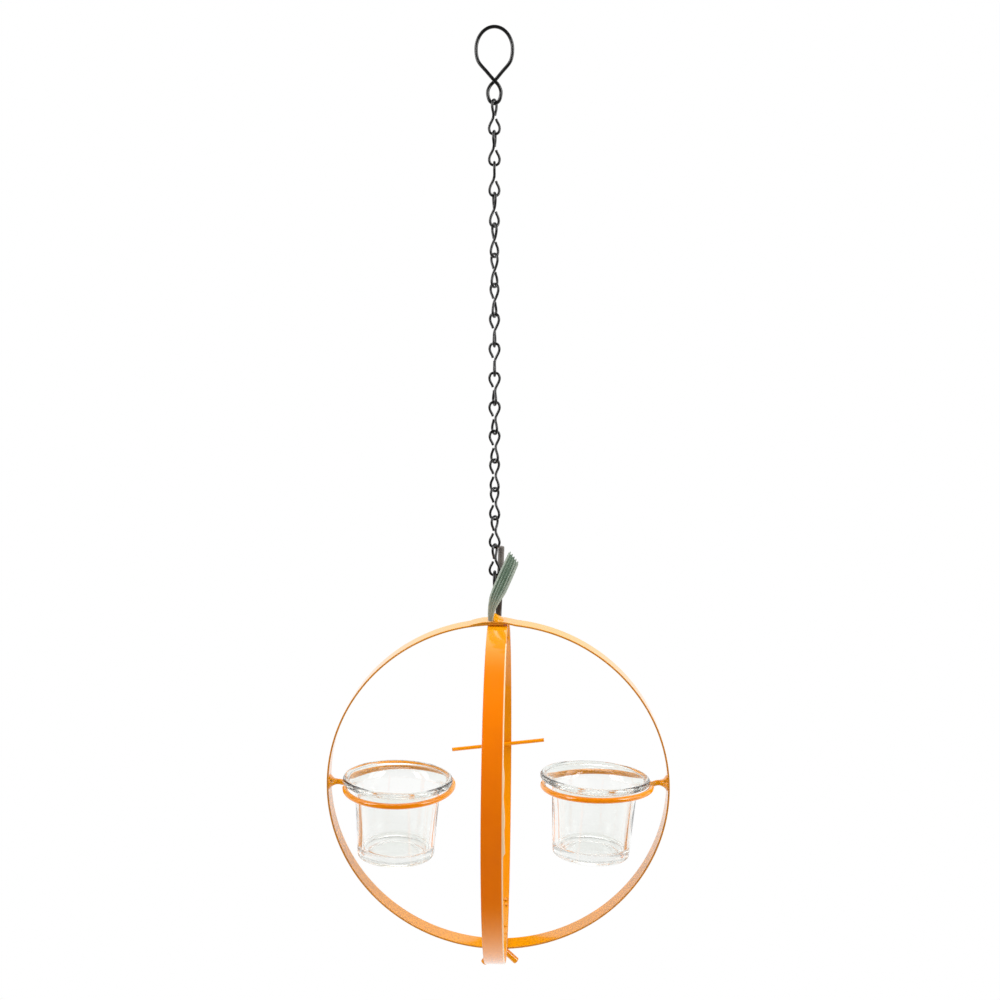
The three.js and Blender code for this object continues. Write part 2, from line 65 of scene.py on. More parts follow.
# %% [markdown]
# ## Camera
# The picture was taken with a normal lens from a little above the globe, slightly to the right of it
# and turned back towards it. A fixed place and turn are simpler here than a tracking constraint. Light
# goes to and fro many times inside a thick glass lip, so it is allowed more bounces than usual.

# %% Set up the camera
LOOK_DOWN = 0.1736
LOOK_LEFT = 0.0312


def add(name, data):
    item = bpy.data.objects.new(name, data)
    bpy.context.collection.objects.link(item)
    return item


lens = bpy.data.cameras.new("camera")
lens.sensor_width = 36
lens.lens = 47.44
lens.clip_end = 50
camera = add("camera", lens)
camera.location = (0.0284, -0.8033, -0.1380)
camera.rotation_euler = (math.pi / 2 - LOOK_DOWN, 0, LOOK_LEFT)
scene = bpy.context.scene
scene.camera = camera
scene.view_settings.view_transform = "Standard"
scene.cycles.max_bounces = 32
scene.cycles.glossy_bounces = 16
scene.cycles.transmission_bounces = 24
print("camera at", tuple(round(v, 3) for v in camera.location))

# %% [markdown]
# ## Small helpers for node trees
# Shader trees and geometry trees are both made of nodes, links and socket values. One helper places a
# node and feeds each of its inputs with either a plain value or another node's output. The others place
# the nodes that come up again and again, for sums, mixes, soft ramps, noise and the place on the object,
# and start a material.

# %% Place and feed a node
def feed(tree, socket, value):
    if isinstance(value, bpy.types.NodeSocket):
        tree.links.new(value, socket)
    else:
        socket.default_value = value


def put(tree, kind, place, values=None, **settings):
    node = tree.nodes.new(kind)
    node.location = (place[0] * 200, place[1] * -200)
    for key, value in settings.items():
        setattr(node, key, value)
    for key, value in (values or {}).items():
        feed(tree, node.inputs[key], value)
    return node


print("nodes can be placed and fed")

# %% Place the common nodes
def maths(tree, place, operation, *values, clamp=False):
    inputs = dict(enumerate(values))
    return put(tree, "ShaderNodeMath", place, inputs, operation=operation, use_clamp=clamp).outputs[0]


def mixed(tree, place, factor, first, second):
    colors = {0: factor, 6: first, 7: second}
    return put(tree, "ShaderNodeMix", place, colors, data_type="RGBA").outputs[2]


def between(tree, place, value, low, high, to_low=0.0, to_high=1.0):
    ends = {"Value": value, "From Min": low, "From Max": high, "To Min": to_low, "To Max": to_high}
    return put(tree, "ShaderNodeMapRange", place, ends, interpolation_type="SMOOTHSTEP").outputs["Result"]


def clouded(tree, place, where, scale, detail, roughness=0.5):
    clouds = {"Vector": where, "Scale": scale, "Detail": detail, "Roughness": roughness}
    return put(tree, "ShaderNodeTexNoise", place, clouds).outputs[0]


def object_place(tree, place):
    where = put(tree, "ShaderNodeTexCoord", place).outputs["Object"]
    axes = put(tree, "ShaderNodeSeparateXYZ", (place[0] + 1, place[1]), {0: where})
    return where, axes.outputs


def new_material(name):
    material = bpy.data.materials.new(name)
    material.use_nodes = True
    return material, material.node_tree


print("helpers ready")

# %% [markdown]
# ## Studio: world, floor and lamps
# The object hangs before a white background. The world is white to the camera. To gloss and through
# glass it is white behind the object and falls off above and on the side that the camera stands on, as
# a real room does: gloss stays deep in colour in front and pale at a glancing angle, and glass keeps its
# edges. A ray that has gone through glass may count as glossy too, so the choice for glass comes later.

# %% Light the world
WHITE = (1, 1, 1, 1)
world = bpy.data.worlds.new("studio")
world.use_nodes = True
scene.world = world
tree = world.node_tree
tree.nodes.clear()
way = put(tree, "ShaderNodeTexCoord", (0, 1))
behind = put(tree, "ShaderNodeSeparateXYZ", (1, 1), {0: way.outputs["Generated"]}).outputs["Y"]
in_gloss = between(tree, (2, 1), behind, 0.1, 0.8, 0.03, 1.0)
in_glass = between(tree, (2, 2), behind, -0.7, 0.2, 0.55, 1.0)
level = between(tree, (2, 3), behind, -0.85, 0.1, 0.43, 0.68)
rays = put(tree, "ShaderNodeLightPath", (0, 0)).outputs
looks = (("Is Glossy Ray", in_gloss), ("Is Transmission Ray", in_glass), ("Is Camera Ray", 1.0))
for step, (kind, seen) in enumerate(looks):
    choice = {0: rays[kind], 2: level, 3: seen}
    level = put(tree, "ShaderNodeMix", (3 + step, 0), choice, data_type="FLOAT").outputs[0]
sky = put(tree, "ShaderNodeBackground", (6, 0), {"Color": WHITE, "Strength": level})
put(tree, "ShaderNodeOutputWorld", (7, 0), {"Surface": sky.outputs[0]})
print("world nodes", len(tree.nodes))

# %% [markdown]
# The floor lies well below the hanging globe, so its shadow falls outside the picture. It is a pale
# matt surface that also glows to the rays that look at it, faintly under the globe and more further
# out. That keeps it white in the picture and still lets a shadow show when the view comes from above.
# In gloss the floor before the object stays dark, so that the front strip keeps its deep colour.

# %% Mix the floor's surface
def pale_floor():
    material, tree = new_material("pale_floor")
    tree.nodes.clear()
    rays = put(tree, "ShaderNodeLightPath", (0, 0)).outputs
    through = rays["Is Transmission Ray"]
    where, axes = object_place(tree, (0, 2))
    away = put(tree, "ShaderNodeVectorMath", (1, 3), {0: where}, operation="LENGTH")
    outer = between(tree, (2, 2), away.outputs["Value"], 0.15, 0.42, 0.35, 1.0)
    looked_at = maths(tree, (2, 0), "MAXIMUM", rays["Is Camera Ray"], through)
    share = maths(tree, (3, 0), "MULTIPLY", looked_at, outer)
    matt = put(tree, "ShaderNodeBsdfDiffuse", (3, 1), {"Color": (0.8, 0.8, 0.8, 1)})
    shine = put(tree, "ShaderNodeEmission", (3, 2), {"Color": WHITE, "Strength": 1.0})
    both = put(tree, "ShaderNodeMixShader", (5, 0), {0: share, 1: matt.outputs[0], 2: shine.outputs[0]})
    glow = between(tree, (3, 3), axes["Y"], -0.34, 0.02, 0.04, 1.0)
    mirrored = put(tree, "ShaderNodeEmission", (5, 2), {"Color": WHITE, "Strength": glow})
    in_gloss = maths(tree, (5, 1), "SUBTRACT", rays["Is Glossy Ray"], through, clamp=True)
    ways = {0: in_gloss, 1: both.outputs[0], 2: mirrored.outputs[0]}
    either = put(tree, "ShaderNodeMixShader", (6, 0), ways)
    put(tree, "ShaderNodeOutputMaterial", (7, 0), {"Surface": either.outputs[0]})
    return material


FLOOR_PAINT = pale_floor()
print("made", FLOOR_PAINT.name)

# %% Lay the floor
FLOOR_HALF = 8
FLOOR_LEVEL = -0.86
floor_mesh = bpy.data.meshes.new("floor")
bm = bmesh.new()
bmesh.ops.create_grid(bm, x_segments=2, y_segments=2, size=FLOOR_HALF)
bm.to_mesh(floor_mesh)
bm.free()
floor_mesh.materials.append(FLOOR_PAINT)
floor = add("floor", floor_mesh)
floor.location.z = FLOOR_LEVEL
print("floor at", floor.location.z)

# %% [markdown]
# Three soft lamps do what soft boxes do in a studio: one on the left, one on the right and one above.
# The one above would lie on the flat strips as a hard pale field, so it is kept out of the gloss. Two
# narrow lamps before the object show in the gloss alone and draw a bright line along every wire.

# %% Hang the lamps
def lamp(name, place, wide, tall, watts):
    light = bpy.data.lights.new(name, "AREA")
    light.shape = "RECTANGLE"
    light.size = wide
    light.size_y = tall
    light.energy = watts
    holder = add(name, light)
    holder.location = place
    holder.rotation_euler = (GLOBE * MM - Vector(place)).to_track_quat("-Z", "Y").to_euler()
    return holder


lamp("left_lamp", (-1.3, -0.35, 0.35), 1.2, 1.5, 9)
lamp("right_lamp", (1.3, -0.3, 0.15), 1.1, 1.5, 9.5)
lamp("top_lamp", (0.1, 0.1, 0.9), 1.0, 1.0, 10).visible_glossy = False
for name, aside in (("left_streak", -1.0), ("right_streak", 1.0)):
    streak = lamp(name, (aside, -0.6, 0.1), 0.4, 0.9, 6)
    streak.visible_diffuse = False
    streak.visible_transmission = False

# %% [markdown]
# ## A shared finish: painted skin
# All the paints here have things in common: the coat is thicker in some places than in others, so the
# tone drifts a little, and the surface has a fine orange-peel dimple. That belongs in one node group
# that every paint uses with its own values. It puts out only what changes over the surface: a colour,
# a roughness and a height for a Bump node.

# %% Build the painted skin group
def make_skin_group():
    tree = bpy.data.node_groups.new("Painted skin", "ShaderNodeTree")
    side = tree.interface
    for label, kind, value in (
        ("Color", "NodeSocketColor", (0.8, 0.2, 0.0, 1)),
        ("Deep Color", "NodeSocketColor", (0.6, 0.1, 0.0, 1)),
        ("Drift", "NodeSocketFloat", 0.5),
        ("Drift Scale", "NodeSocketFloat", 60.0),
        ("Peel Scale", "NodeSocketFloat", 900.0),
        ("Roughness", "NodeSocketFloat", 0.3),
        ("Roughness Change", "NodeSocketFloat", 0.1),
    ):
        side.new_socket(label, in_out="INPUT", socket_type=kind).default_value = value
    for label, kind in (("Color", "Color"), ("Roughness", "Float"), ("Height", "Float")):
        side.new_socket(label, in_out="OUTPUT", socket_type="NodeSocket" + kind)
    given = put(tree, "NodeGroupInput", (0, 0)).outputs
    where = put(tree, "ShaderNodeTexCoord", (0, 2)).outputs["Object"]
    drift = clouded(tree, (1, 1), where, given["Drift Scale"], 3.0, 0.6)
    peel = clouded(tree, (1, 2), where, given["Peel Scale"], 1.0, 0.4)
    spread = between(tree, (2, 1), drift, 0.3, 0.7)
    amount = maths(tree, (3, 0), "MULTIPLY", spread, given["Drift"])
    tone = mixed(tree, (4, 0), amount, given["Color"], given["Deep Color"])
    rough = maths(tree, (4, 1), "MULTIPLY_ADD", spread, given["Roughness Change"], given["Roughness"])
    put(tree, "NodeGroupOutput", (6, 0), {"Color": tone, "Roughness": rough, "Height": peel})
    return tree


SKIN_GROUP = make_skin_group()
print("group", SKIN_GROUP.name, "nodes", len(SKIN_GROUP.nodes))

# %% [markdown]
# A material then needs the group, a Bump node and the Principled shader. Numbers that are the same
# all over, such as the coat or the bump's depth, are set on those nodes directly.

# %% Start a painted material
def painted(name, skin, bump, **constants):
    material, tree = new_material(name)
    tree.nodes["Principled BSDF"].location = (1600, 0)
    tree.nodes["Material Output"].location = (1900, 0)
    shader = tree.nodes["Principled BSDF"].inputs
    for key, value in constants.items():
        shader[key.replace("_", " ")].default_value = value
    coat = put(tree, "ShaderNodeGroup", (2, 0), skin, node_tree=SKIN_GROUP).outputs
    relief = {"Strength": bump, "Distance": 0.0001, "Height": coat["Height"]}
    feed(tree, shader["Base Color"], coat["Color"])
    feed(tree, shader["Roughness"], coat["Roughness"])
    feed(tree, shader["Normal"], put(tree, "ShaderNodeBump", (6, 2), relief).outputs[0])
    return material, tree, shader, coat


def surface_value(tree, place, name):
    return put(tree, "ShaderNodeAttribute", place, attribute_name=name).outputs["Fac"]


def over_middle(rise):
    return (GLOBE.z + rise) * MM


print("materials start from", SKIN_GROUP.name)

# %% [markdown]
# ## Orange paint
# Glossy orange coats the hoops, rings, rod, fork and welds. Painted light makes it yellower towards the
# top, the back and the bottom, where more light reaches it, and leaves it redder in the middle of the
# front strip. Over it lies a clear gloss. On sheared edges and cut ends the coat is thin, dull and brown,
# and the same brown is painted shade along the edges of the strips. Weld pits are nearly bare, the lower
# part of each spatter drop is painted shade, and one edge is cream, a painted highlight. The pieces carry
# those places as point attributes called "edge", "pit_and_shade" and "pale_mark", so the colour follows
# the shape and not the view.

# %% Mix the orange paint
def orange_paint():
    skin = {
        "Color": (0.92, 0.195, 0.0005, 1),
        "Deep Color": (0.88, 0.172, 0.0005, 1),
        "Drift": 0.7,
        "Drift Scale": 45.0,
        "Peel Scale": 700.0,
        "Roughness": 0.07,
        "Roughness Change": 0.05,
    }
    material, tree, shader, coat = painted(
        "glossy_orange_paint", skin, 0.012, Specular_IOR_Level=0.36, Coat_Weight=0.65, Coat_Roughness=0.06
    )
    axes = object_place(tree, (0, 4))[1]
    # Painted light: high, back and low turn the paint yellower towards the top, the back and the bottom.
    high = between(tree, (2, 4), axes["Z"], over_middle(20), over_middle(115), 0.0, 0.15)
    low = between(tree, (2, 6), axes["Z"], over_middle(-75), over_middle(-15), 0.5, 0.0)
    from_middle = between(tree, (1, 5), axes["Y"], -0.06, 0.0, 0.0, 0.8)
    far_back = between(tree, (1, 6), axes["Y"], 0.012, 0.06, 0.0, 0.25)
    back = maths(tree, (2, 5), "SUBTRACT", from_middle, far_back)
    tone_shift = maths(tree, (4, 4), "ADD", high, maths(tree, (3, 5), "MAXIMUM", back, low))
    # The brown on edges and cut ends is partly thin coat and partly painted shade along the strip edges.
    edge = between(tree, (3, 1), surface_value(tree, (2, 1.5), "edge"), 0.2, 0.8, 0.0, 0.55)
    # Dark weld pits, and painted shade on the lower part of each spatter drop.
    pit_and_shade = surface_value(tree, (2, 2.5), "pit_and_shade")
    # The cream line on one edge of the cross hoop is a painted highlight.
    pale_mark = surface_value(tree, (2, 3.2), "pale_mark")
    color = mixed(tree, (4, 0), tone_shift, coat["Color"], (1.0, 0.42, 0.002, 1))
    color = mixed(tree, (5, 0), edge, color, (0.42, 0.150, 0.012, 1))
    color = mixed(tree, (6, 0), pale_mark, color, (1.0, 0.74, 0.44, 1))
    color = mixed(tree, (7, 0), pit_and_shade, color, (0.055, 0.017, 0.006, 1))
    feed(tree, shader["Base Color"], color)
    feed(tree, shader["Roughness"], maths(tree, (5, 1), "MULTIPLY_ADD", edge, 0.6, coat["Roughness"]))
    return material


ORANGE = orange_paint()
print("made", ORANGE.name)

# %% [markdown]
# ## Black wire
# The hook, the chain and the small eye are coated wire. The coat is satin: fairly dark, with a broad
# grey highlight along the top of each bend, and slightly worn where the wire was cut.

# %% Mix the black coat
def black_coat():
    skin = {
        "Color": (0.004, 0.004, 0.004, 1),
        "Deep Color": (0.012, 0.011, 0.010, 1),
        "Drift": 0.8,
        "Drift Scale": 160.0,
        "Peel Scale": 900.0,
        "Roughness": 0.2,
        "Roughness Change": 0.1,
    }
    material, tree, shader, coat = painted("satin_black_coat", skin, 0.05, Specular_IOR_Level=0.9)
    edge = surface_value(tree, (2, 1.5), "edge")
    feed(tree, shader["Base Color"], mixed(tree, (4, 0), edge, coat["Color"], (0.06, 0.055, 0.05, 1)))
    return material


BLACK = black_coat()
print("made", BLACK.name)

# %% [markdown]
# ## Brown stem paint
# The stem is a rod with a dull grey-brown coat that goes almost black near the hoop, with long pale
# streaks in it. A noise stretched along the rod gives the streaks, and the height up the rod, stored
# on the points as "along", gives the change from dark to pale.

# %% Mix the stem paint
def stem_paint():
    skin = {
        "Color": (0.225, 0.200, 0.180, 1),
        "Deep Color": (0.150, 0.130, 0.115, 1),
        "Drift": 0.8,
        "Drift Scale": 180.0,
        "Peel Scale": 1500.0,
        "Roughness": 0.42,
        "Roughness Change": 0.16,
    }
    material, tree, shader, coat = painted("dull_brown_paint", skin, 0.3, IOR=1.5)
    where = put(tree, "ShaderNodeTexCoord", (0, 3)).outputs["Object"]
    stretch = put(tree, "ShaderNodeMapping", (1, 3), {"Vector": where, "Scale": (900, 900, 40)})
    grain = clouded(tree, (2, 3), stretch.outputs[0], 1.0, 2.0)
    streak = between(tree, (3, 3), grain, 0.52, 0.68, 0.0, 0.5)
    low = between(tree, (3, 2), surface_value(tree, (2, 2), "along"), 0.25, 0.62, 0.92, 0.0)
    color = mixed(tree, (4, 0), low, coat["Color"], (0.016, 0.011, 0.008, 1))
    color = mixed(tree, (5, 0), streak, color, (0.26, 0.235, 0.215, 1))
    feed(tree, shader["Base Color"], color)
    return material


BROWN = stem_paint()
print("made", BROWN.name)

# %% [markdown]
# ## Green leaf paint
# The leaf is ribbed sheet, brushed with a grey-green paint that is rubbed pale in long uneven streaks,
# most of all along both sides and a little on the ridges. The middle is the darkest green, the foot is
# almost grey. The mesh carries "ridge" and "along" on its points, and a map for the brush marks.

# %% Mix the leaf paint
def leaf_paint():
    skin = {
        "Color": (0.144, 0.236, 0.154, 1),
        "Deep Color": (0.078, 0.160, 0.091, 1),
        "Drift": 0.8,
        "Drift Scale": 220.0,
        "Peel Scale": 1400.0,
        "Roughness": 0.42,
        "Roughness Change": 0.15,
    }
    material, tree, shader, coat = painted("brushed_green_paint", skin, 0.25, IOR=1.5)
    along = surface_value(tree, (0, 2), "along")
    ridge = surface_value(tree, (0, 3), "ridge")
    sheet = put(tree, "ShaderNodeUVMap", (0, 4), uv_map="leaf").outputs[0]
    across = put(tree, "ShaderNodeSeparateXYZ", (1, 5), {0: sheet}).outputs[0]
    left = between(tree, (2, 5), across, 0.02, 0.2, 0.3, 0.0)
    right = between(tree, (2, 6), across, 0.6, 0.98, 0.0, 0.34)
    sides = maths(tree, (3, 5), "ADD", left, right)
    stretch = put(tree, "ShaderNodeMapping", (1, 4), {"Vector": sheet, "Scale": (15, 1.3, 1)})
    brush = clouded(tree, (2, 4), stretch.outputs[0], 1.0, 4.0, 0.65)
    faint = maths(tree, (3, 3), "MULTIPLY_ADD", ridge, 0.2, brush)
    pale_mark = maths(tree, (4, 4), "ADD", faint, sides)
    worn = between(tree, (5, 3), pale_mark, 0.58, 0.86, 0.0, 0.85)
    foot = between(tree, (4, 2), along, 0.12, 0.62, 0.85, 0.0)
    tip = between(tree, (4, 1), along, 0.7, 1.0, 0.0, 0.45)
    color = mixed(tree, (5, 1), tip, coat["Color"], (0.24, 0.33, 0.24, 1))
    color = mixed(tree, (6, 1), foot, color, (0.37, 0.40, 0.33, 1))
    color = mixed(tree, (7, 1), worn, color, (0.45, 0.51, 0.43, 1))
    feed(tree, shader["Base Color"], color)
    return material


GREEN = leaf_paint()
print("made", GREEN.name)

# %% [markdown]
# ## Clear glass
# The cups are pressed glass: clear, a trace of green, and not quite even, so a very shallow broad
# ripple goes into the normal. Where the glass is thick, in the lip and the foot, the green is stronger,
# and the foot is a little frosted; both lie at known heights. Transmission and index of refraction are
# plain values on the shader.

# %% Melt the glass
def clear_glass():
    material, tree = new_material("clear_pressed_glass")
    shader = tree.nodes["Principled BSDF"].inputs
    for key, value in (("Transmission Weight", 1.0), ("IOR", 1.5), ("Metallic", 0.0)):
        shader[key].default_value = value
    where, axes = object_place(tree, (-6, 3))
    wave = clouded(tree, (-5, 1), where, 90.0, 1.0, 0.3)
    tint = clouded(tree, (-5, 0), where, 35.0, 2.0)
    shade = between(tree, (-4, 0), tint, 0.3, 0.7)
    lip = between(tree, (-4, 3), axes["Z"], over_middle(-2), over_middle(3))
    foot = between(tree, (-4, 4), axes["Z"], over_middle(-43), over_middle(-38), 1.0, 0.0)
    tone_shift = maths(tree, (-3, 3), "MAXIMUM", lip, foot)
    color = mixed(tree, (-3, 0), shade, (0.975, 0.980, 0.970, 1), (0.955, 0.963, 0.948, 1))
    feed(tree, shader["Base Color"], mixed(tree, (-2, 0), tone_shift, color, (0.87, 0.895, 0.856, 1)))
    smear = between(tree, (-4, -1), tint, 0.35, 0.75, 0.0, 0.03)
    feed(tree, shader["Roughness"], maths(tree, (-2, -1), "MULTIPLY_ADD", foot, 0.14, smear))
    ripple = {"Strength": 0.12, "Distance": 0.0006, "Height": wave}
    feed(tree, shader["Normal"], put(tree, "ShaderNodeBump", (-2, 2), ripple).outputs[0])
    return material


GLASS = clear_glass()
print("made", GLASS.name)

# %% [markdown]
# ## From a path to a wire
# Hook, links, rings, eye and rod are all one thing: round wire along a bent path. The bend is a smooth
# curve through a few points, worked out here so that it is the very curve the frame was bent on. A
# mesh of bare edges carries it into Geometry Nodes, where the wire is swept round it.

# %% Smooth a path
def bend_point(points, position):
    count = len(points) - 1
    index = min(int(position * count), count - 1)
    part = position * count - index
    first, second = points[index], points[index + 1]
    before = points[index - 1] if index else 2 * first - second
    after = points[index + 2] if index + 2 <= count else 2 * second - first
    spans = ((before, first), (first, second), (second, after))
    gap0, gap1, gap2 = ((b - a).length ** 0.5 for a, b in spans)
    leave = (first - before) / gap0 - (second - before) / (gap0 + gap1) + (second - first) / gap1
    arrive = (second - first) / gap1 - (after - first) / (gap1 + gap2) + (after - second) / gap2
    leave = leave * gap1
    arrive = arrive * gap1
    square = -3 * first + 3 * second - 2 * leave - arrive
    cube = 2 * first - 2 * second + leave + arrive
    return first + part * (leave + part * (square + part * cube))


def bend(points, per_span=10):
    points = [Vector(p) for p in points]
    steps = (len(points) - 1) * per_span
    return [bend_point(points, i / steps) for i in range(steps + 1)]


def path_mesh(name, points, closed=False):
    mesh = bpy.data.meshes.new(name)
    last = len(points) - 1
    edges = [(i, i + 1) for i in range(last)] + ([(last, 0)] if closed else [])
    mesh.from_pydata([Vector(p) * MM for p in points], edges, [])
    return mesh


print("a bend through 3 points gives", len(bend([(0, 0, 0), (1, 1, 0), (2, 0, 0)])), "points")

# %% [markdown]
# ## What the trees share
# Three Geometry Nodes trees are built below. Each begins with named inputs for its sizes and ends by
# making the result real and giving it a finish. In between, an outline is swept along a line, and points
# on cut ends and edges are marked with the "edge" attribute. These parts are helpers, so that each tree
# shows only what is its own.

# %% Begin and end a tree
def new_tree(name, inputs):
    tree = bpy.data.node_groups.new(name, "GeometryNodeTree")
    tree.interface.new_socket("Geometry", in_out="INPUT", socket_type="NodeSocketGeometry")
    for label, kind, value in inputs:
        socket = tree.interface.new_socket(label, in_out="INPUT", socket_type="NodeSocket" + kind)
        if value is not None:
            socket.default_value = value
    tree.interface.new_socket("Geometry", in_out="OUTPUT", socket_type="NodeSocketGeometry")
    return tree, put(tree, "NodeGroupInput", (0, 0)).outputs


def finish_tree(tree, given, geometry, place):
    smooth = put(tree, "GeometryNodeSetShadeSmooth", (place, 0), {0: geometry})
    real = put(tree, "GeometryNodeRealizeInstances", (place + 1, 0), {0: smooth.outputs[0]})
    finish = {"Geometry": real.outputs[0], "Material": given["Material"]}
    coat = put(tree, "GeometryNodeSetMaterial", (place + 2, 0), finish)
    put(tree, "NodeGroupOutput", (place + 3, 0), {0: coat.outputs[0]})
    return tree


def swept(tree, place, line, outline):
    ways = {"Curve": line, "Profile Curve": outline, "Fill Caps": True}
    return put(tree, "GeometryNodeCurveToMesh", place, ways).outputs[0]


def edge_mark(tree, place, line, value):
    mark = {"Geometry": line, "Name": "edge", "Value": value}
    return put(tree, "GeometryNodeStoreNamedAttribute", place, mark, data_type="FLOAT").outputs[0]


print("trees begin and end alike")

# %% [markdown]
# ## The wire tree
# The tree turns the edges into a curve, spaces its points evenly, marks the cut ends and sweeps a circle
# along it. The wire's radius and the spacing are inputs. The ends are capped, so every wire is a closed
# body.

# %% Build the wire tree
def wire_tree():
    tree, given = new_tree("Bent wire", (
        ("Radius", "Float", 0.001),
        ("Step", "Float", 0.0004),
        ("Sides", "Int", 20),
        ("Material", "Material", None),
    ))
    curve = put(tree, "GeometryNodeMeshToCurve", (1, 0), {"Mesh": given["Geometry"]})
    spacing = {"Curve": curve.outputs[0], "Length": given["Step"]}
    even = put(tree, "GeometryNodeResampleCurve", (2, 0), spacing, mode="LENGTH")
    along = put(tree, "GeometryNodeSplineParameter", (2, 2)).outputs["Factor"]
    from_middle = maths(tree, (4, 2), "ABSOLUTE", maths(tree, (3, 2), "SUBTRACT", along, 0.5))
    is_end = maths(tree, (5, 2), "GREATER_THAN", from_middle, 0.4999)
    line = edge_mark(tree, (6, 0), even.outputs[0], is_end)
    section = {"Resolution": given["Sides"], "Radius": given["Radius"]}
    ring = put(tree, "GeometryNodeCurvePrimitiveCircle", (6, 1), section, mode="RADIUS")
    return finish_tree(tree, given, swept(tree, (7, 0), line, ring.outputs[0]), 8)


WIRE_TREE = wire_tree()
print("tree", WIRE_TREE.name, "nodes", len(WIRE_TREE.nodes))

# %% [markdown]
# A tree is run by a modifier on the path's object. Its inputs are set by their identifiers before the
# object is first evaluated. The result is then turned into a plain mesh, because an exported piece
# has no modifiers, and a Bevel after the tree breaks the sharp rim of each cut end.

# %% Run a tree and keep its mesh
def run_tree(tree, mesh, name, values, bevel=0.0, even_normals=False):
    piece = add(name, mesh)
    modifier = piece.modifiers.new("tree", "NODES")
    modifier.node_group = tree
    for socket in tree.interface.items_tree:
        if socket.in_out == "INPUT" and socket.name in values:
            modifier[socket.identifier] = values[socket.name]
    if bevel:
        trim = piece.modifiers.new("trim", "BEVEL")
        trim.width = bevel * MM
        trim.segments = 3
        trim.limit_method = "ANGLE"
        trim.angle_limit = math.radians(60)
    if even_normals:
        piece.modifiers.new("even", "WEIGHTED_NORMAL").keep_sharp = True
    graph = bpy.context.evaluated_depsgraph_get()
    plain = bpy.data.meshes.new_from_object(
        piece.evaluated_get(graph), preserve_all_data_layers=True, depsgraph=graph
    )
    piece.modifiers.clear()
    piece.data = plain
    plain.name = name
    bpy.data.meshes.remove(mesh)
    return piece


def bent_wire(name, points, wire, material, step=0.4, sides=20, bevel=0.14):
    values = {"Radius": wire / 2 * MM, "Step": step * MM, "Sides": sides, "Material": material}
    return run_tree(WIRE_TREE, path_mesh(name, points), name, values, bevel=bevel * wire)


print("wires can be bent")

# %% [markdown]
# Each finished piece is measured, and then settled: it rides on its body and stands for the frame's plain
# solid, which is hidden.

# %% Settle a piece on its body
def measure(piece):
    bm = bmesh.new()
    bm.from_mesh(piece.data)
    volume = bm.calc_volume(signed=True) / MM**3
    open_edges = sum(not e.is_manifold for e in bm.edges)
    triangles = sum(len(f.verts) - 2 for f in bm.faces)
    bm.free()
    return volume, open_edges, triangles


def settle(piece, body, node):
    volume, open_edges, triangles = measure(piece)
    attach(piece, body)
    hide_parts(node)
    print(f"{piece.name}: {triangles} triangles, {volume:.0f} mm3, open edges {open_edges}")


print("pieces are settled on their bodies as they are made")

# %% [markdown]
# ## Hook
# The hook is one wire bent into a large loop over a small eye. The wire crosses itself between them,
# and its two cut ends meet behind the crossing, so from the front it reads as a closed figure eight.
# Heights are measured from the inside top of the loop, which is the frame's origin.

# %% Bend the hook
FIT_GAP = 0.3
HOOK_WIRE = 2.1
HOOK_LOOP_INSIDE = 19.2
HOOK_WIDEST = -11.6
HOOK_CROSSING = -29.3
HOOK_EYE_INSIDE = 5.7
HOOK_EYE_FLOOR = -41
HOOK_BOTTOM = HOOK_EYE_FLOOR - (FIT_GAP + HOOK_WIRE) / 2


def hook_path():
    cross = HOOK_CROSSING
    eye_half = (cross - HOOK_BOTTOM) / 2
    neck = HOOK_WIDEST - cross
    crown = HOOK_WIRE / 2 - HOOK_WIDEST
    wide = (HOOK_LOOP_INSIDE + HOOK_WIRE) / 2
    eye = (HOOK_EYE_INSIDE + HOOK_WIRE) / 2
    apart = (HOOK_WIRE + FIT_GAP) / 2
    round_turns = [math.radians(180 - 22.5 * i) for i in range(9)]
    return [
        (-0.12 * eye, apart, cross - 0.08 * eye_half),
        (-0.66 * eye, 0.85 * apart, HOOK_BOTTOM + 1.56 * eye_half),
        (-eye, 0.3 * apart, HOOK_BOTTOM + eye_half),
        (-0.67 * eye, 0, HOOK_BOTTOM + 0.22 * eye_half),
        (0, 0, HOOK_BOTTOM),
        (0.67 * eye, 0, HOOK_BOTTOM + 0.22 * eye_half),
        (eye, -0.3 * apart, HOOK_BOTTOM + eye_half),
        (0.67 * eye, -0.8 * apart, HOOK_BOTTOM + 1.56 * eye_half),
        (0, -apart, cross),
        (-0.41 * wide, -0.8 * apart, cross + 0.28 * neck),
        (-0.89 * wide, -0.3 * apart, cross + 0.63 * neck),
        *((wide * math.cos(t), 0, HOOK_WIDEST + crown * math.sin(t)) for t in round_turns),
        (0.89 * wide, 0.3 * apart, cross + 0.63 * neck),
        (0.41 * wide, 0.8 * apart, cross + 0.28 * neck),
        (0.05 * wide, apart, cross + 0.03 * neck),
    ]


hook = bent_wire("wire_hook", bend(hook_path()), HOOK_WIRE, BLACK)
settle(hook, "hook", "hanging_hook")

# %% [markdown]
# ## Chain
# Each link is a figure eight whose loops stand nearly at right angles, and each hangs in the one above,
# turned a little further. That is a rule, so a second tree takes the wire tree's link and moves and
# turns it by its number. It runs once for each link, because every link is a body of its own.

# %% Shape a link
LINK_WIRE = 1.6
LINK_PITCH = 17.8
LINK_LOOP_INSIDE = 4.6
LINK_LOOP_TURN = math.radians(68)


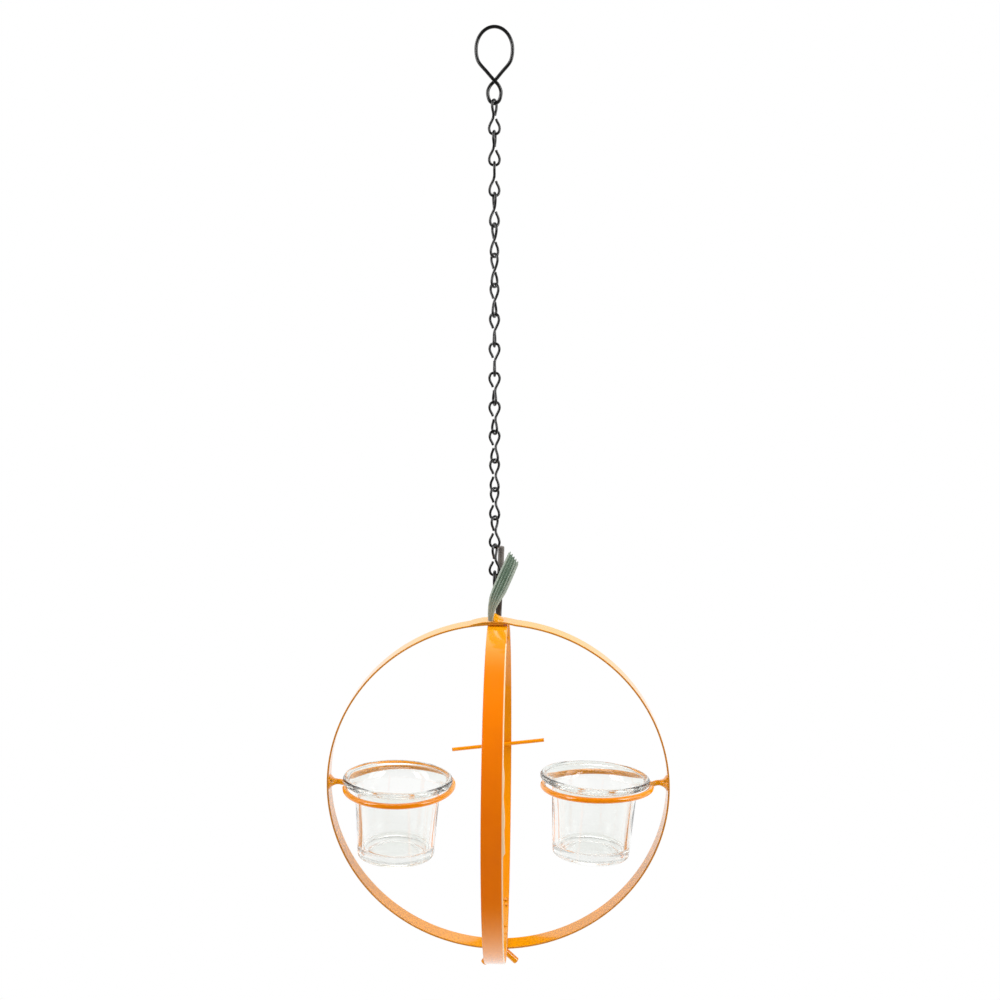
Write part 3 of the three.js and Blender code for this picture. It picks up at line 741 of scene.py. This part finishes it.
def link_path():
    wide = (LINK_LOOP_INSIDE + LINK_WIRE) / 2
    end = (LINK_PITCH + FIT_GAP + LINK_WIRE) / 2
    loop = [(0.32, 0.1), (0.5, 0.25), (0.85, 0.45), (1, 0.68), (0.72, 0.915), (0, 1)]
    loop += [(-0.72, 0.915), (-1, 0.68), (-0.85, 0.45), (-0.45, 0.2)]
    aside, ahead = wide * math.cos(LINK_LOOP_TURN), wide * math.sin(LINK_LOOP_TURN)
    upper = [(side * aside, side * ahead, height * end) for side, height in loop]
    lower = [(side * wide, 0, -height * end) for side, height in reversed(loop)]
    return upper + [(-0.2 * wide, -0.13 * wide, 0)] + lower


link_line = bend(link_path(), 8)
print("a link's line has", len(link_line), "points")

# %% Build the link tree
LINK_TWIST = math.radians(12)


def link_tree():
    tree, given = new_tree("Chain link", (
        ("Number", "Int", 1),
        ("First Drop", "Float", -HOOK_EYE_FLOOR * MM),
        ("Pitch", "Float", LINK_PITCH * MM),
        ("Twist", "Float", LINK_TWIST),
        ("Radius", "Float", LINK_WIRE / 2 * MM),
        ("Material", "Material", None),
    ))
    sizes = {key: given[key] for key in ("Geometry", "Radius", "Material")}
    sizes.update({"Step": 0.35 * MM, "Sides": 16})
    wire = put(tree, "GeometryNodeGroup", (2, 0), sizes, node_tree=WIRE_TREE)
    half_back = maths(tree, (1, 1), "SUBTRACT", given["Number"], 0.5)
    down = maths(tree, (2, 1), "MULTIPLY_ADD", half_back, given["Pitch"], given["First Drop"])
    place = put(tree, "ShaderNodeCombineXYZ", (4, 1), {"Z": maths(tree, (3, 1), "MULTIPLY", down, -1.0)})
    one_back = maths(tree, (1, 2), "SUBTRACT", given["Number"], 1.0)
    turn = maths(tree, (2, 2), "MULTIPLY", one_back, given["Twist"])
    spin = put(tree, "ShaderNodeCombineXYZ", (4, 2), {"Z": turn})
    hung = {"Geometry": wire.outputs[0], "Translation": place.outputs[0], "Rotation": spin.outputs[0]}
    return finish_tree(tree, given, put(tree, "GeometryNodeTransform", (5, 0), hung).outputs[0], 6)


LINK_TREE = link_tree()
print("tree", LINK_TREE.name, "nodes", len(LINK_TREE.nodes))

# %% Hang the sixteen links
LINK_COUNT = 16
for number in range(1, LINK_COUNT + 1):
    label = f"link_{number:02d}"
    values = {"Number": number, "Material": BLACK}
    link = run_tree(LINK_TREE, path_mesh(label, link_line), "wire_" + label, values, bevel=0.22)
    settle(link, label, "chain_" + label)

# %% [markdown]
# ## From a path to a rolled strip
# The hoops are flat strip bent on the flat. A third tree sweeps a rounded rectangle instead of a
# circle. Its curve normals are set free and all point the same way, across the strip, so that the
# rectangle never twists. The rectangle's own points carry "edge", which is 1 on the sheared edges.

# %% Build the strip tree
STRIP_WIDTH = 12.7
STRIP_THICKNESS = 1.2


def strip_tree():
    tree, given = new_tree("Rolled strip", (
        ("Width", "Float", STRIP_WIDTH * MM),
        ("Thickness", "Float", STRIP_THICKNESS * MM),
        ("Edge Round", "Float", 0.4 * MM),
        ("Across", "Vector", (0, 1, 0)),
        ("Material", "Material", None),
    ))
    curve = put(tree, "GeometryNodeMeshToCurve", (1, 0), {"Mesh": given["Geometry"]})
    aims = {"Curve": curve.outputs[0], "Normal": given["Across"]}
    aimed = put(tree, "GeometryNodeSetCurveNormal", (2, 0), aims, mode="FREE")
    section = {"Width": given["Width"], "Height": given["Thickness"]}
    outline = put(tree, "GeometryNodeCurvePrimitiveQuadrilateral", (1, 2), section, mode="RECTANGLE")
    corners = {"Curve": outline.outputs[0], "Radius": given["Edge Round"], "Count": 4}
    rounded = put(tree, "GeometryNodeFilletCurve", (2, 2), corners, mode="POLY")
    where = put(tree, "GeometryNodeInputPosition", (1, 3))
    axes = put(tree, "ShaderNodeSeparateXYZ", (2, 3), {0: where.outputs[0]})
    aside = maths(tree, (3, 3), "ABSOLUTE", axes.outputs["X"])
    half = maths(tree, (2, 4), "MULTIPLY", given["Width"], 0.5)
    inside = maths(tree, (3, 4), "SUBTRACT", half, given["Edge Round"])
    ends = {"Value": aside, "From Min": inside, "From Max": half}
    share = put(tree, "ShaderNodeMapRange", (4, 3), ends, clamp=True)
    section = edge_mark(tree, (5, 2), rounded.outputs[0], share.outputs[0])
    return finish_tree(tree, given, swept(tree, (6, 0), aimed.outputs[0], section), 7)


STRIP_TREE = strip_tree()
print("tree", STRIP_TREE.name, "nodes", len(STRIP_TREE.nodes))

# %% [markdown]
# ## Side hoop
# The side hoop is a strip that is longer than its circle, so its two ends lap on top beside the stem.
# The path starts on the outer layer, where the end is hammered close so that it hardly shows, steps down
# to the circle just past the stem, and runs all the way round until it ends under its own beginning. A
# single spiral line says that best.

# %% Roll the side hoop
HOOP_RADIUS = 110
LAP_START, LAP_END = 98.8, 87.5
LAP_STEP, LAP_STEP_SPAN = 89, 6
LAP_LIFT = 1.22
LAP_END_SHARE, LAP_HAMMER_SPAN = 0.25, 5
LAP_CLEAR = 82
HOOP_SPACING, LAP_SPACING = 1.5, 0.4


def rolled(name, points, across, closed=False):
    values = {"Across": across, "Material": ORANGE}
    return run_tree(STRIP_TREE, path_mesh(name, points, closed), name, values, even_normals=True)


def side_hoop_path():
    points = []
    turn = LAP_START
    while turn > LAP_END - 360:
        drop = min(max((LAP_STEP - turn) / LAP_STEP_SPAN, 0), 1)
        rise = min(LAP_END_SHARE + (LAP_START - turn) / LAP_HAMMER_SPAN, 1)
        lift = LAP_LIFT * rise * (1 - drop * drop * (3 - 2 * drop))
        radius = HOOP_RADIUS - STRIP_THICKNESS / 2 + lift
        angle = math.radians(turn)
        points.append(GLOBE + Vector((radius * math.cos(angle), 0, radius * math.sin(angle))))
        turn -= HOOP_SPACING if turn < LAP_CLEAR else LAP_SPACING
    return points


side_hoop = rolled("rolled_side_hoop", side_hoop_path(), (0, 1, 0))
settle(side_hoop, "globe", "side_hoop")

# %% [markdown]
# ## Cross hoop
# The cross hoop runs from front to back inside the side hoop. It is welded shut, so its path is a
# closed circle, and its width lies across, along X.

# %% Roll the cross hoop
CROSS_RADIUS = (hoop_high[2] - hoop_low[2]) / (2 * MM)
CROSS_STEPS = 480


def cross_hoop_path():
    radius = CROSS_RADIUS - STRIP_THICKNESS / 2
    turns = [2 * math.pi * i / CROSS_STEPS for i in range(CROSS_STEPS)]
    return [GLOBE + Vector((0, radius * math.cos(t), radius * math.sin(t))) for t in turns]


cross_hoop = rolled("rolled_cross_hoop", cross_hoop_path(), (1, 0, 0), closed=True)
print("cross hoop rolled, radius", round(CROSS_RADIUS, 2))

# %% [markdown]
# The right edge of its front half carries a cream line, a painted highlight, with a ragged burr on it at
# the height of the cups, and a few drops of weld spatter sit on its inner face near the bottom, each with
# painted shade on its lower part. These are too small for pieces of their own. The flat face has no
# points near its edge, so it is cut there first; then the points of the painted highlight are marked and
# the edge is pushed out, by a list of heights over the globe's middle.

# %% Paint a highlight on the edge
BURR = [(51, 0), (48, 0.5), (44, 0.65), (39, 0.5), (35, 0.2), (31, 0.5), (26, 1.0), (20, 1.15),
        (16.5, 0.75), (9.5, 1.0), (4, 1.25), (2, 0)]
HIGHLIGHT_CUTS = (5.5, 5.7)
HIGHLIGHT_FROM, BURR_FROM = 5.6, 5.9
FRONT_HALF = -30


def burr_at(height):
    for (z0, out0), (z1, out1) in zip(BURR, BURR[1:]):
        if z1 <= height <= z0:
            return out0 + (out1 - out0) * (z0 - height) / (z0 - z1)
    return 0


def paint_edge_highlight(bm):
    for offset in HIGHLIGHT_CUTS:
        everything = bm.verts[:] + bm.edges[:] + bm.faces[:]
        middle = (GLOBE + Vector((offset, 0, 0))) * MM
        bmesh.ops.bisect_plane(bm, geom=everything, plane_co=middle, plane_no=(1, 0, 0))
    pale_mark = bm.verts.layers.float.new("pale_mark")
    for vertex in bm.verts:
        place = vertex.co / MM - GLOBE
        outside = math.hypot(place.y, place.z) > CROSS_RADIUS - 0.75 * STRIP_THICKNESS
        if place.y < FRONT_HALF and place.x > HIGHLIGHT_FROM and outside:
            # These points carry the cream painted highlight.
            vertex[pale_mark] = 0.9
            if place.x > BURR_FROM:
                vertex.co.x += burr_at(place.z) * MM


print("the burr stands out", max(out for height, out in BURR), "mm at most")

# %% Add the spatter
DROPS = [((3.9, 41, -98.6), 1.2), ((4.5, 36.5, -100.4), 0.9), ((4.2, 17, -105.6), 1.0),
         ((4.9, 9, -106.8), 1.1), ((4.0, 4, -107.2), 0.8)]


def add_spatter(bm):
    pit_and_shade = bm.verts.layers.float.new("pit_and_shade")
    for place, radius in DROPS:
        spot = Matrix.Translation((GLOBE + Vector(place)) * MM) @ Matrix.Diagonal((1, 1.4, 0.8, 1))
        drop = bmesh.ops.create_icosphere(bm, subdivisions=3, radius=radius * MM, matrix=spot)["verts"]
        for vertex in drop:
            # The lower part of each drop is painted shade.
            vertex[pit_and_shade] = 0.4 if vertex.co.z / MM - GLOBE.z < place[2] - 0.2 * radius else 0.0
        for face in {f for v in drop for f in v.link_faces}:
            face.smooth = True


bm = bmesh.new()
bm.from_mesh(cross_hoop.data)
paint_edge_highlight(bm)
add_spatter(bm)
bm.to_mesh(cross_hoop.data)
bm.free()
cross_hoop.data.materials.clear()
cross_hoop.data.materials.append(ORANGE)
settle(cross_hoop, "globe", "cross_hoop")

# %% [markdown]
# ## Fork
# Under the crossing hangs a short piece of wire like that of the rings, bent to a wide upturned V with
# flat cut ends, its left leg a little steeper. The wire tree makes it from a softly bent line.

# %% Bend the fork
WELD_GAP = 0.2
FORK_WIRE = 4.4
FORK_TOP = -HOOP_RADIUS - WELD_GAP - FORK_WIRE / 2


def fork_path():
    left = [(-9.5, -10.8), (-4.75, -4.2), (-1.9, -0.86)]
    line = left + [(0.74, 0), (3.44, -1.12), (7.0, -4.2), (12.3, -9.3)]
    return bend([GLOBE + Vector((x, 0, FORK_TOP + z)) for x, z in line], 8)


fork = bent_wire("bent_fork", fork_path(), FORK_WIRE, ORANGE, step=0.5, sides=24)
settle(fork, "globe", "bottom_fork")

# %% [markdown]
# ## Cup rings
# Each ring is one wire: it starts with a cut end beside the arm, runs round the cup and bends out to
# the side hoop. The two rings are mirror images, and each has settled at its own slight tilt, so the
# path is made once and then placed by a matrix.

# %% Bend the rings
SIDES = {"left": -1, "right": 1}
RING_RADIUS = 34.8
RING_WIRE = 3.6
RING_CENTRE = 63.96
RING_HEIGHTS = {"left": -0.2, "right": 1.5}
RING_TILTS = {"left": 0.5, "right": 6.6}
RING_OPEN, RING_BEND, RING_STEPS = 8, 12, 30
ARM_LENGTH = 9.6
ARM_RISE = 2.2
ARM_IN_WELD = 4.4


def ring_path():
    points = []
    for i in range(RING_STEPS + 1):
        turn = math.radians(-RING_OPEN + (RING_BEND - 360 + RING_OPEN) * i / RING_STEPS)
        points.append((RING_RADIUS * math.cos(turn), RING_RADIUS * math.sin(turn), 0))
    straight = ARM_LENGTH - ARM_IN_WELD
    for out, back, rise in ((0.125, 0.1, 0.12), (0.375, 0.03, 0.6), (0.71, 0, 1), (1, 0, 1)):
        points.append((RING_RADIUS + out * straight, back * RING_RADIUS, rise * ARM_RISE))
    points.append((RING_RADIUS + ARM_LENGTH, 0, ARM_RISE))
    return points


def station(name):
    place = GLOBE + Vector((SIDES[name] * RING_CENTRE, 0, RING_HEIGHTS[name]))
    return Matrix.Translation(place) @ Matrix.Rotation(-math.radians(RING_TILTS[name]), 4, "X")


for name, side in SIDES.items():
    place = station(name) @ Matrix.Diagonal((side, 1, 1, 1))
    line = [place @ p for p in bend(ring_path(), 5)]
    ring = bent_wire(name + "_wire_ring", line, RING_WIRE, ORANGE, step=0.8, sides=24)
    settle(ring, "globe", name + "_cup_ring")

# %% [markdown]
# ## Perch rod
# A straight rod crosses behind the front strip, welded to the rear one, with flat cut ends. It is the
# simplest path of all: a few points in a row.

# %% Cut the perch rod
PERCH_WIRE = 2.7
PERCH_LENGTH = 67
PERCH_TILT = math.radians(6.9)
PERCH_ASIDE, PERCH_RISE = -3.3, -10.9
rod_low, rod_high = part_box("perch_rod")
rod_y = (rod_low[1] + rod_high[1]) / (2 * MM)
rod_way = Vector((math.cos(PERCH_TILT), 0, math.sin(PERCH_TILT)))
rod_centre = Vector((GLOBE.x + PERCH_ASIDE, rod_y, GLOBE.z + PERCH_RISE))
rod_line = [rod_centre + rod_way * (PERCH_LENGTH / 2 * s) for s in (-1, -0.5, 0, 0.5, 1)]
rod = bent_wire("cut_perch_rod", rod_line, PERCH_WIRE, ORANGE, step=0.6, bevel=0.06)
settle(rod, "globe", "perch_rod")

# %% [markdown]
# ## Hanging eye
# The chain's last link hangs in a small wire eye before the stem. On the real one a short tail of the
# same wire is welded to the stem, so the path starts at the stem, reaches the ring and goes once round.

# %% Bend the eye
EYE_WIRE = 2.0
EYE_RADIUS = 4.5
EYE_CENTRE = Vector((0, 0, GLOBE.z + 137.65))
EYE_START, EYE_SWEEP, EYE_STEPS = -14, 346, 24
EYE_SPREAD = 0.12
TAIL_INSETS = (0.9, 0.2)
eye_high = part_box("stem_eye")[1]


def eye_path():
    tail = Vector((eye_high[0] / MM - TAIL_INSETS[0], eye_high[1] / MM - TAIL_INSETS[1], EYE_CENTRE.z))
    points = [tail, tail.lerp(EYE_CENTRE + Vector((0, EYE_RADIUS, 0)), 0.6)]
    for share in (i / EYE_STEPS for i in range(EYE_STEPS + 1)):
        turn = math.radians(EYE_START + EYE_SWEEP * share)
        back, up = EYE_RADIUS * math.cos(turn), EYE_RADIUS * math.sin(turn)
        points.append(EYE_CENTRE + Vector((-EYE_SPREAD * share, back, up)))
    return points


eye = bent_wire("wire_eye", bend(eye_path(), 5), EYE_WIRE, BLACK, step=0.35)
settle(eye, "globe", "stem_eye")

# %% [markdown]
# ## Turned shapes
# Cups, stem and welds are round about an axis. A modifier could spin a profile, but a short function
# that lays out rings of points also closes the poles and lets each point be nudged, which the welds
# and the stem need, and stores how far up the profile each point lies.

# %% Make a piece from points
def new_piece(name, points, faces, material, **marks):
    mesh = bpy.data.meshes.new(name)
    mesh.from_pydata(points, [], faces)
    for label, values in marks.items():
        mesh.attributes.new(label, "FLOAT", "POINT").data.foreach_set("value", values)
    mesh.materials.append(material)
    return add(name, mesh)


print("points and faces make a piece")

# %% Turn a profile
def turned(name, profile, steps, place, material, nudge):
    points, along, rings = [], [], []
    for row, (radius, height) in enumerate(profile):
        count = steps if radius > 1e-6 else 1
        rings.append(range(len(points), len(points) + count))
        for i in range(count):
            turn = 2 * math.pi * i / steps
            r, h = nudge(radius, height, turn) if count > 1 else (radius, height)
            points.append(place @ Vector((r * math.cos(turn), r * math.sin(turn), h)) * MM)
            along.append(row / (len(profile) - 1))
    faces = []
    for low, high in zip(rings, rings[1:]):
        for i in range(steps):
            a, b = low[i % len(low)], low[(i + 1) % len(low)]
            c, d = high[(i + 1) % len(high)], high[i % len(high)]
            face = list(dict.fromkeys((a, b, c, d)))
            if len(face) > 2:
                faces.append(face)
    piece = new_piece(name, points, faces, material, along=along)
    bm = bmesh.new()
    bm.from_mesh(piece.data)
    bmesh.ops.recalc_face_normals(bm, faces=bm.faces)
    bm.to_mesh(piece.data)
    bm.free()
    piece.data.shade_smooth()
    return piece


def arc(centre, radii, start, end, count):
    turns = [math.radians(start + (end - start) * i / count) for i in range(count + 1)]
    return [(centre[0] + radii[0] * math.cos(t), centre[1] + radii[1] * math.sin(t)) for t in turns]


print("a quarter round has", len(arc((0, 0), (1, 1), 0, 90, 6)), "points")

# %% [markdown]
# ## Glass cups
# A cup is pressed in a mould: a thick foot with a shallow recess, a slightly tapered wall, a flared
# neck and a heavy rounded lip. Outside and inside are one closed profile made of arcs, and light has
# to cross a real wall thickness, so the inside is modelled too. Each cup hangs a little askew.

# %% Draw the cup's outline
RIM, WALL, INNER_WALL, FOOT = 35.2, 27.3, 24.7, 24.8
NECK, LIP_UNDER, TOP = 41.4, 48.4, 52.0
FLARE_STEPS = 20


def flare(start, wide, tall, first, last):
    shares = [i / FLARE_STEPS for i in range(FLARE_STEPS + 1)]
    turns = [math.radians(first + (last - first) * share) for share in shares]
    return [(start + wide * (1 - math.cos(t)), NECK + tall * math.sin(t)) for t in turns]


def cup_profile():
    return [
        (0, 0.9), (10, 0.9), (19.7, 0.9),
        *arc((20.7, 0.9), (0.9, 0.9), 215, 270, 3),
        *arc((23.0, 1.8), (1.8, 1.8), -90, -4, 7),
        (FOOT + 0.7, 13.0), (FOOT + 1.5, 26.0),
        *flare(WALL, RIM - 1.0 - WALL, 7, 3, 84),
        *arc((RIM - 1.1, LIP_UNDER + 1.2), (1.1, 1.2), -84, 0, 14),
        *arc((RIM - 1.7, TOP - 1.7), (1.7, 1.7), 4, 90, 16),
        *arc((RIM - 2.2, TOP - 1.3), (1.3, 1.3), 96, 146, 10),
        *arc((RIM - 4.72, TOP + 0.15), (1.6, 1.6), -34, -70, 8),
        *flare(INNER_WALL, 9.03, 9.7, 70, 2),
        (23.3, 27.0), (22.5, 17.0),
        *arc((19.8, 8.0), (2.0, 2.0), 0, -90, 10),
        (9, 6.0), (0, 6.0),
    ]


print("the cup's outline has", len(cup_profile()), "points")

# %% Press the cups
CUP_TILTS = {"left": 3.4, "right": 6.2}
CUP_ROLLS = {"left": 2.0, "right": 3.0}
CUP_SEATS = {"left": (-0.4, -2.8, 3.7), "right": (-1.5, 0.0, 3.4)}
CUP_STEPS = 160


def glass_ripple(radius, height, turn):
    uneven = noise.noise(Vector((2.2 * math.cos(turn), 2.2 * math.sin(turn), 0.05 * height)))
    return radius + 0.06 * uneven, height + 0.05 * uneven


for name in SIDES:
    askew = math.radians(CUP_TILTS[name] - RING_TILTS[name])
    lean = Matrix.Rotation(-askew, 4, "X") @ Matrix.Rotation(math.radians(CUP_ROLLS[name]), 4, "Y")
    hang = Matrix.Translation(CUP_SEATS[name]) @ lean
    place = station(name) @ hang @ Matrix.Translation((0, 0, -LIP_UNDER))
    cup = turned(name + "_pressed_cup", cup_profile(), CUP_STEPS, place, GLASS, glass_ripple)
    settle(cup, name + "_cup", name + "_glass_cup")

# %% [markdown]
# ## Stem
# The stem is a rod that stands on the lapped strip and leans a little to the right. Its top is worn
# round, and the bar was not quite true, so its radius wavers slightly along its length.

# %% Stand the stem
LAP_TOP = HOOP_RADIUS + STRIP_THICKNESS
STEM_RADIUS = 1.95
STEM_TOP = 46.3
STEM_STEPS = 28
STEM_LEAN = Matrix.Rotation(math.radians(2.4), 4, "Y")
STEM_PLACE = Matrix.Translation(GLOBE + Vector((0.2, 4.2, LAP_TOP))) @ STEM_LEAN


def stem_profile():
    rows = [(0, 0)] + [(STEM_RADIUS, 2.0 * i) for i in range(23)]
    return rows + arc((1.1, 45.4), (0.85, 0.85), 0, 80, 5) + [(0.5, STEM_TOP), (0, STEM_TOP)]


def stem_waver(radius, height, turn):
    uneven = noise.noise(Vector((math.cos(turn), math.sin(turn), 0.12 * height)))
    return radius * (1 + 0.03 * uneven), height


stem = turned("leaning_stem", stem_profile(), STEM_STEPS, STEM_PLACE, BROWN, stem_waver)
settle(stem, "globe", "stem")

# %% [markdown]
# ## Leaf
# The leaf is a narrow strip of sheet pressed into five ribs. It rises from the lapped strip, comes
# forward past the eye, widens and leans to the right, and its cut end steps down from rib to rib. A
# grid of points that follows a bent middle line gives full control of ribs, end and brush map. The
# stations along that line are shares of its reach to the right, to the front and up, and of its width.

# %% Lay out the leaf
LEAF_STATIONS = [(0, 0, 0, 0), (0.06, 0.58, 0.19, 0.27), (0.21, 1, 0.36, 0.75), (0.4, 1, 0.51, 1),
                 (0.71, 1, 0.765, 1), (1, 1, 1, 0.92)]
LEAF_FOOT = Vector((-4.5, -5.2, LAP_TOP + FIT_GAP))
LEAF_REACH = Vector((14.8, -3.075, 41.4))
LEAF_FOOT_HALF, LEAF_HALF = 1.5, 4.5
LEAF_ROWS, LEAF_COLUMNS, LEAF_RIBS = 72, 60, 5
LEAF_RIB_DEPTH = 0.55
LEAF_THICKNESS = 0.8
LEAF_TIP_SLANT, LEAF_TIP_STEP = 2.3, 0.7
LEAF_PEEK = 0.002


def leaf_width(along):
    place = along * (len(LEAF_STATIONS) - 1)
    index = min(int(place), len(LEAF_STATIONS) - 2)
    part = place - index
    share = LEAF_STATIONS[index][3] * (1 - part) + LEAF_STATIONS[index + 1][3] * part
    return LEAF_FOOT_HALF + (LEAF_HALF - LEAF_FOOT_HALF) * share


def leaf_points():
    line = [GLOBE + LEAF_FOOT + LEAF_REACH * Vector(row[:3]) for row in LEAF_STATIONS]
    front, back, marks = [], [], []
    for row in range(LEAF_ROWS + 1):
        along = row / LEAF_ROWS
        centre = bend_point(line, along)
        ahead = bend_point(line, min(along + LEAF_PEEK, 1))
        behind = bend_point(line, max(along - LEAF_PEEK, 0))
        tangent = (ahead - behind).normalized()
        across = Vector((tangent.z, 0, -tangent.x)).normalized()
        face = across.cross(tangent).normalized()
        half = leaf_width(along)
        near_tip = max(0, 3 * along - 2)
        for column in range(LEAF_COLUMNS + 1):
            side = 2 * column / LEAF_COLUMNS - 1
            wave = -math.cos(math.pi * LEAF_RIBS * (side + 1))
            ridge = math.copysign(abs(wave) ** 0.8, wave)
            step = LEAF_TIP_STEP * math.copysign(abs(wave) ** 0.4, wave)
            cut = near_tip * (step - LEAF_TIP_SLANT * side)
            point = centre + across * (side * half) + tangent * cut
            depth = ridge * LEAF_RIB_DEPTH / 2 * half / LEAF_HALF
            front.append((point + face * (depth + LEAF_THICKNESS / 2)) * MM)
            back.append((point + face * (depth - LEAF_THICKNESS / 2)) * MM)
            marks.append((along, (ridge + 1) / 2, (side + 1) / 2))
    return front + back, marks + marks


print("leaf is", 2 * leaf_width(0), "mm wide at its foot and", 2 * leaf_width(0.7), "mm above")

# %% [markdown]
# The front and the back of the sheet are two such grids of points. Faces join each of them, and more
# faces close the sides, the foot and the stepped end. The brush map goes across and along the leaf.

# %% Press the leaf
def leaf_faces():
    stride = LEAF_COLUMNS + 1
    count = stride * (LEAF_ROWS + 1)
    faces = []
    for row in range(LEAF_ROWS):
        for a in range(row * stride, row * stride + LEAF_COLUMNS):
            faces.append((a, a + 1, a + stride + 1, a + stride))
            faces.append((count + a, count + a + stride, count + a + stride + 1, count + a + 1))
        left, right = row * stride, row * stride + LEAF_COLUMNS
        faces.append((left, left + stride, count + left + stride, count + left))
        faces.append((right, count + right, count + right + stride, right + stride))
    for column in range(LEAF_COLUMNS):
        top = LEAF_ROWS * stride + column
        faces.append((column, count + column, count + column + 1, column + 1))
        faces.append((top, top + 1, count + top + 1, count + top))
    return faces


def press_leaf():
    points, marks = leaf_points()
    along, ridge, across = zip(*marks)
    piece = new_piece("ribbed_leaf", points, leaf_faces(), GREEN, along=along, ridge=ridge)
    sheet = piece.data.uv_layers.new(name="leaf")
    for loop in piece.data.loops:
        sheet.data[loop.index].uv = (across[loop.vertex_index], along[loop.vertex_index])
    piece.data.shade_smooth()
    piece.data.set_sharp_from_angle(angle=math.radians(50))
    return piece


settle(press_leaf(), "globe", "leaf")

# %% [markdown]
# ## Welds
# Welds are lumps of metal that ran and froze before the paint went on: uneven flares round the arm
# ends, and a peaked mound between the leaf and the stem. They are turned shapes whose points are
# nudged by noise. Small pits in them show dark, and go into the "pit_and_shade" attribute.

# %% Mark the pits and nudge the welds
def pitted(piece, spots):
    values = []
    for vertex in piece.data.vertices:
        near = min((vertex.co / MM - spot).length / size for spot, size in spots)
        values.append(min(max(1.25 - near, 0), 1))
    piece.data.attributes.new("pit_and_shade", "FLOAT", "POINT").data.foreach_set("value", values)
    return piece


def weld_nudge(seed):
    def nudge(radius, height, turn):
        lump = noise.noise(Vector((1.3 * math.cos(turn) + seed, 1.3 * math.sin(turn), 0.45 * height)))
        fine = noise.noise(Vector((3 * math.cos(turn), 3 * math.sin(turn) + seed, 1.1 * height)))
        tall = 1 - 0.14 * math.cos(2 * turn)
        return radius * tall * (1 + 0.16 * lump + 0.06 * fine), height
    return nudge


print("a pit fades out at its rim")

# %% Flow the arm welds
WELD_STEPS = 36
WELD_SEEDS = {"left": -3.7, "right": 3.7, "top": 11.3}
WELD_RIM = 6.0
WELD_REACH = math.sqrt((HOOP_RADIUS - STRIP_THICKNESS) ** 2 - WELD_RIM ** 2)


def arm_weld_profile():
    rows = [(0, -0.6), (5.3, -0.6), (5.4, 0.2)]
    for t in (i / 12 for i in range(1, 13)):
        rows.append((2.05 + 3.3 * (1 - t) ** 2.1, 0.3 + 4.2 * t))
    return rows + [(1.6, 4.75), (0, 4.8)]


for name, side in SIDES.items():
    inward = Matrix.Rotation(-side * math.pi / 2, 4, "Y")
    face = Matrix.Translation((side * (WELD_REACH - RING_CENTRE), 0, ARM_RISE)) @ inward
    place = station(name) @ face
    nudge = weld_nudge(WELD_SEEDS[name])
    weld = turned(name + "_flowed_weld", arm_weld_profile(), WELD_STEPS, place, ORANGE, nudge)
    large = place @ Vector((side * 1.6, -3.4, 1.1))
    small = place @ Vector((-side * 2.6, -2.6, 1.9))
    pitted(weld, [(large, 1.0), (small, 0.6)])
    settle(weld, "globe", name + "_arm_weld")

# %% Flow the top weld
MOUND_HEIGHT = 5
MOUND_LEFT, MOUND_FORWARD = 2.3, 1.2


def mound_profile():
    rows = [(0, -0.2), (5.1, -0.2), (5.2, 0.3)]
    for t in (i / 12 for i in range(1, 12)):
        rows.append((5.1 * (1 - t) ** 1.7 + 0.5 * (1 - t), 0.4 + 4.6 * t))
    return rows + [(0, 5.1)]


def top_weld():
    place = Matrix.Translation(GLOBE + Vector((-0.4, 0.6, LAP_TOP)))
    nudge = weld_nudge(WELD_SEEDS["top"])
    weld = turned("peaked_top_weld", mound_profile(), WELD_STEPS, place, ORANGE, nudge)
    for vertex in weld.data.vertices:
        rise = max(vertex.co.z / MM - GLOBE.z - LAP_TOP, 0) / MOUND_HEIGHT
        vertex.co.x -= MOUND_LEFT * MM * rise ** 1.3
        vertex.co.y -= MOUND_FORWARD * MM * rise
    return pitted(weld, [(GLOBE + Vector((-2.9, -3.4, LAP_TOP + 0.9)), 0.8)])


settle(top_weld(), "globe", "top_weld")
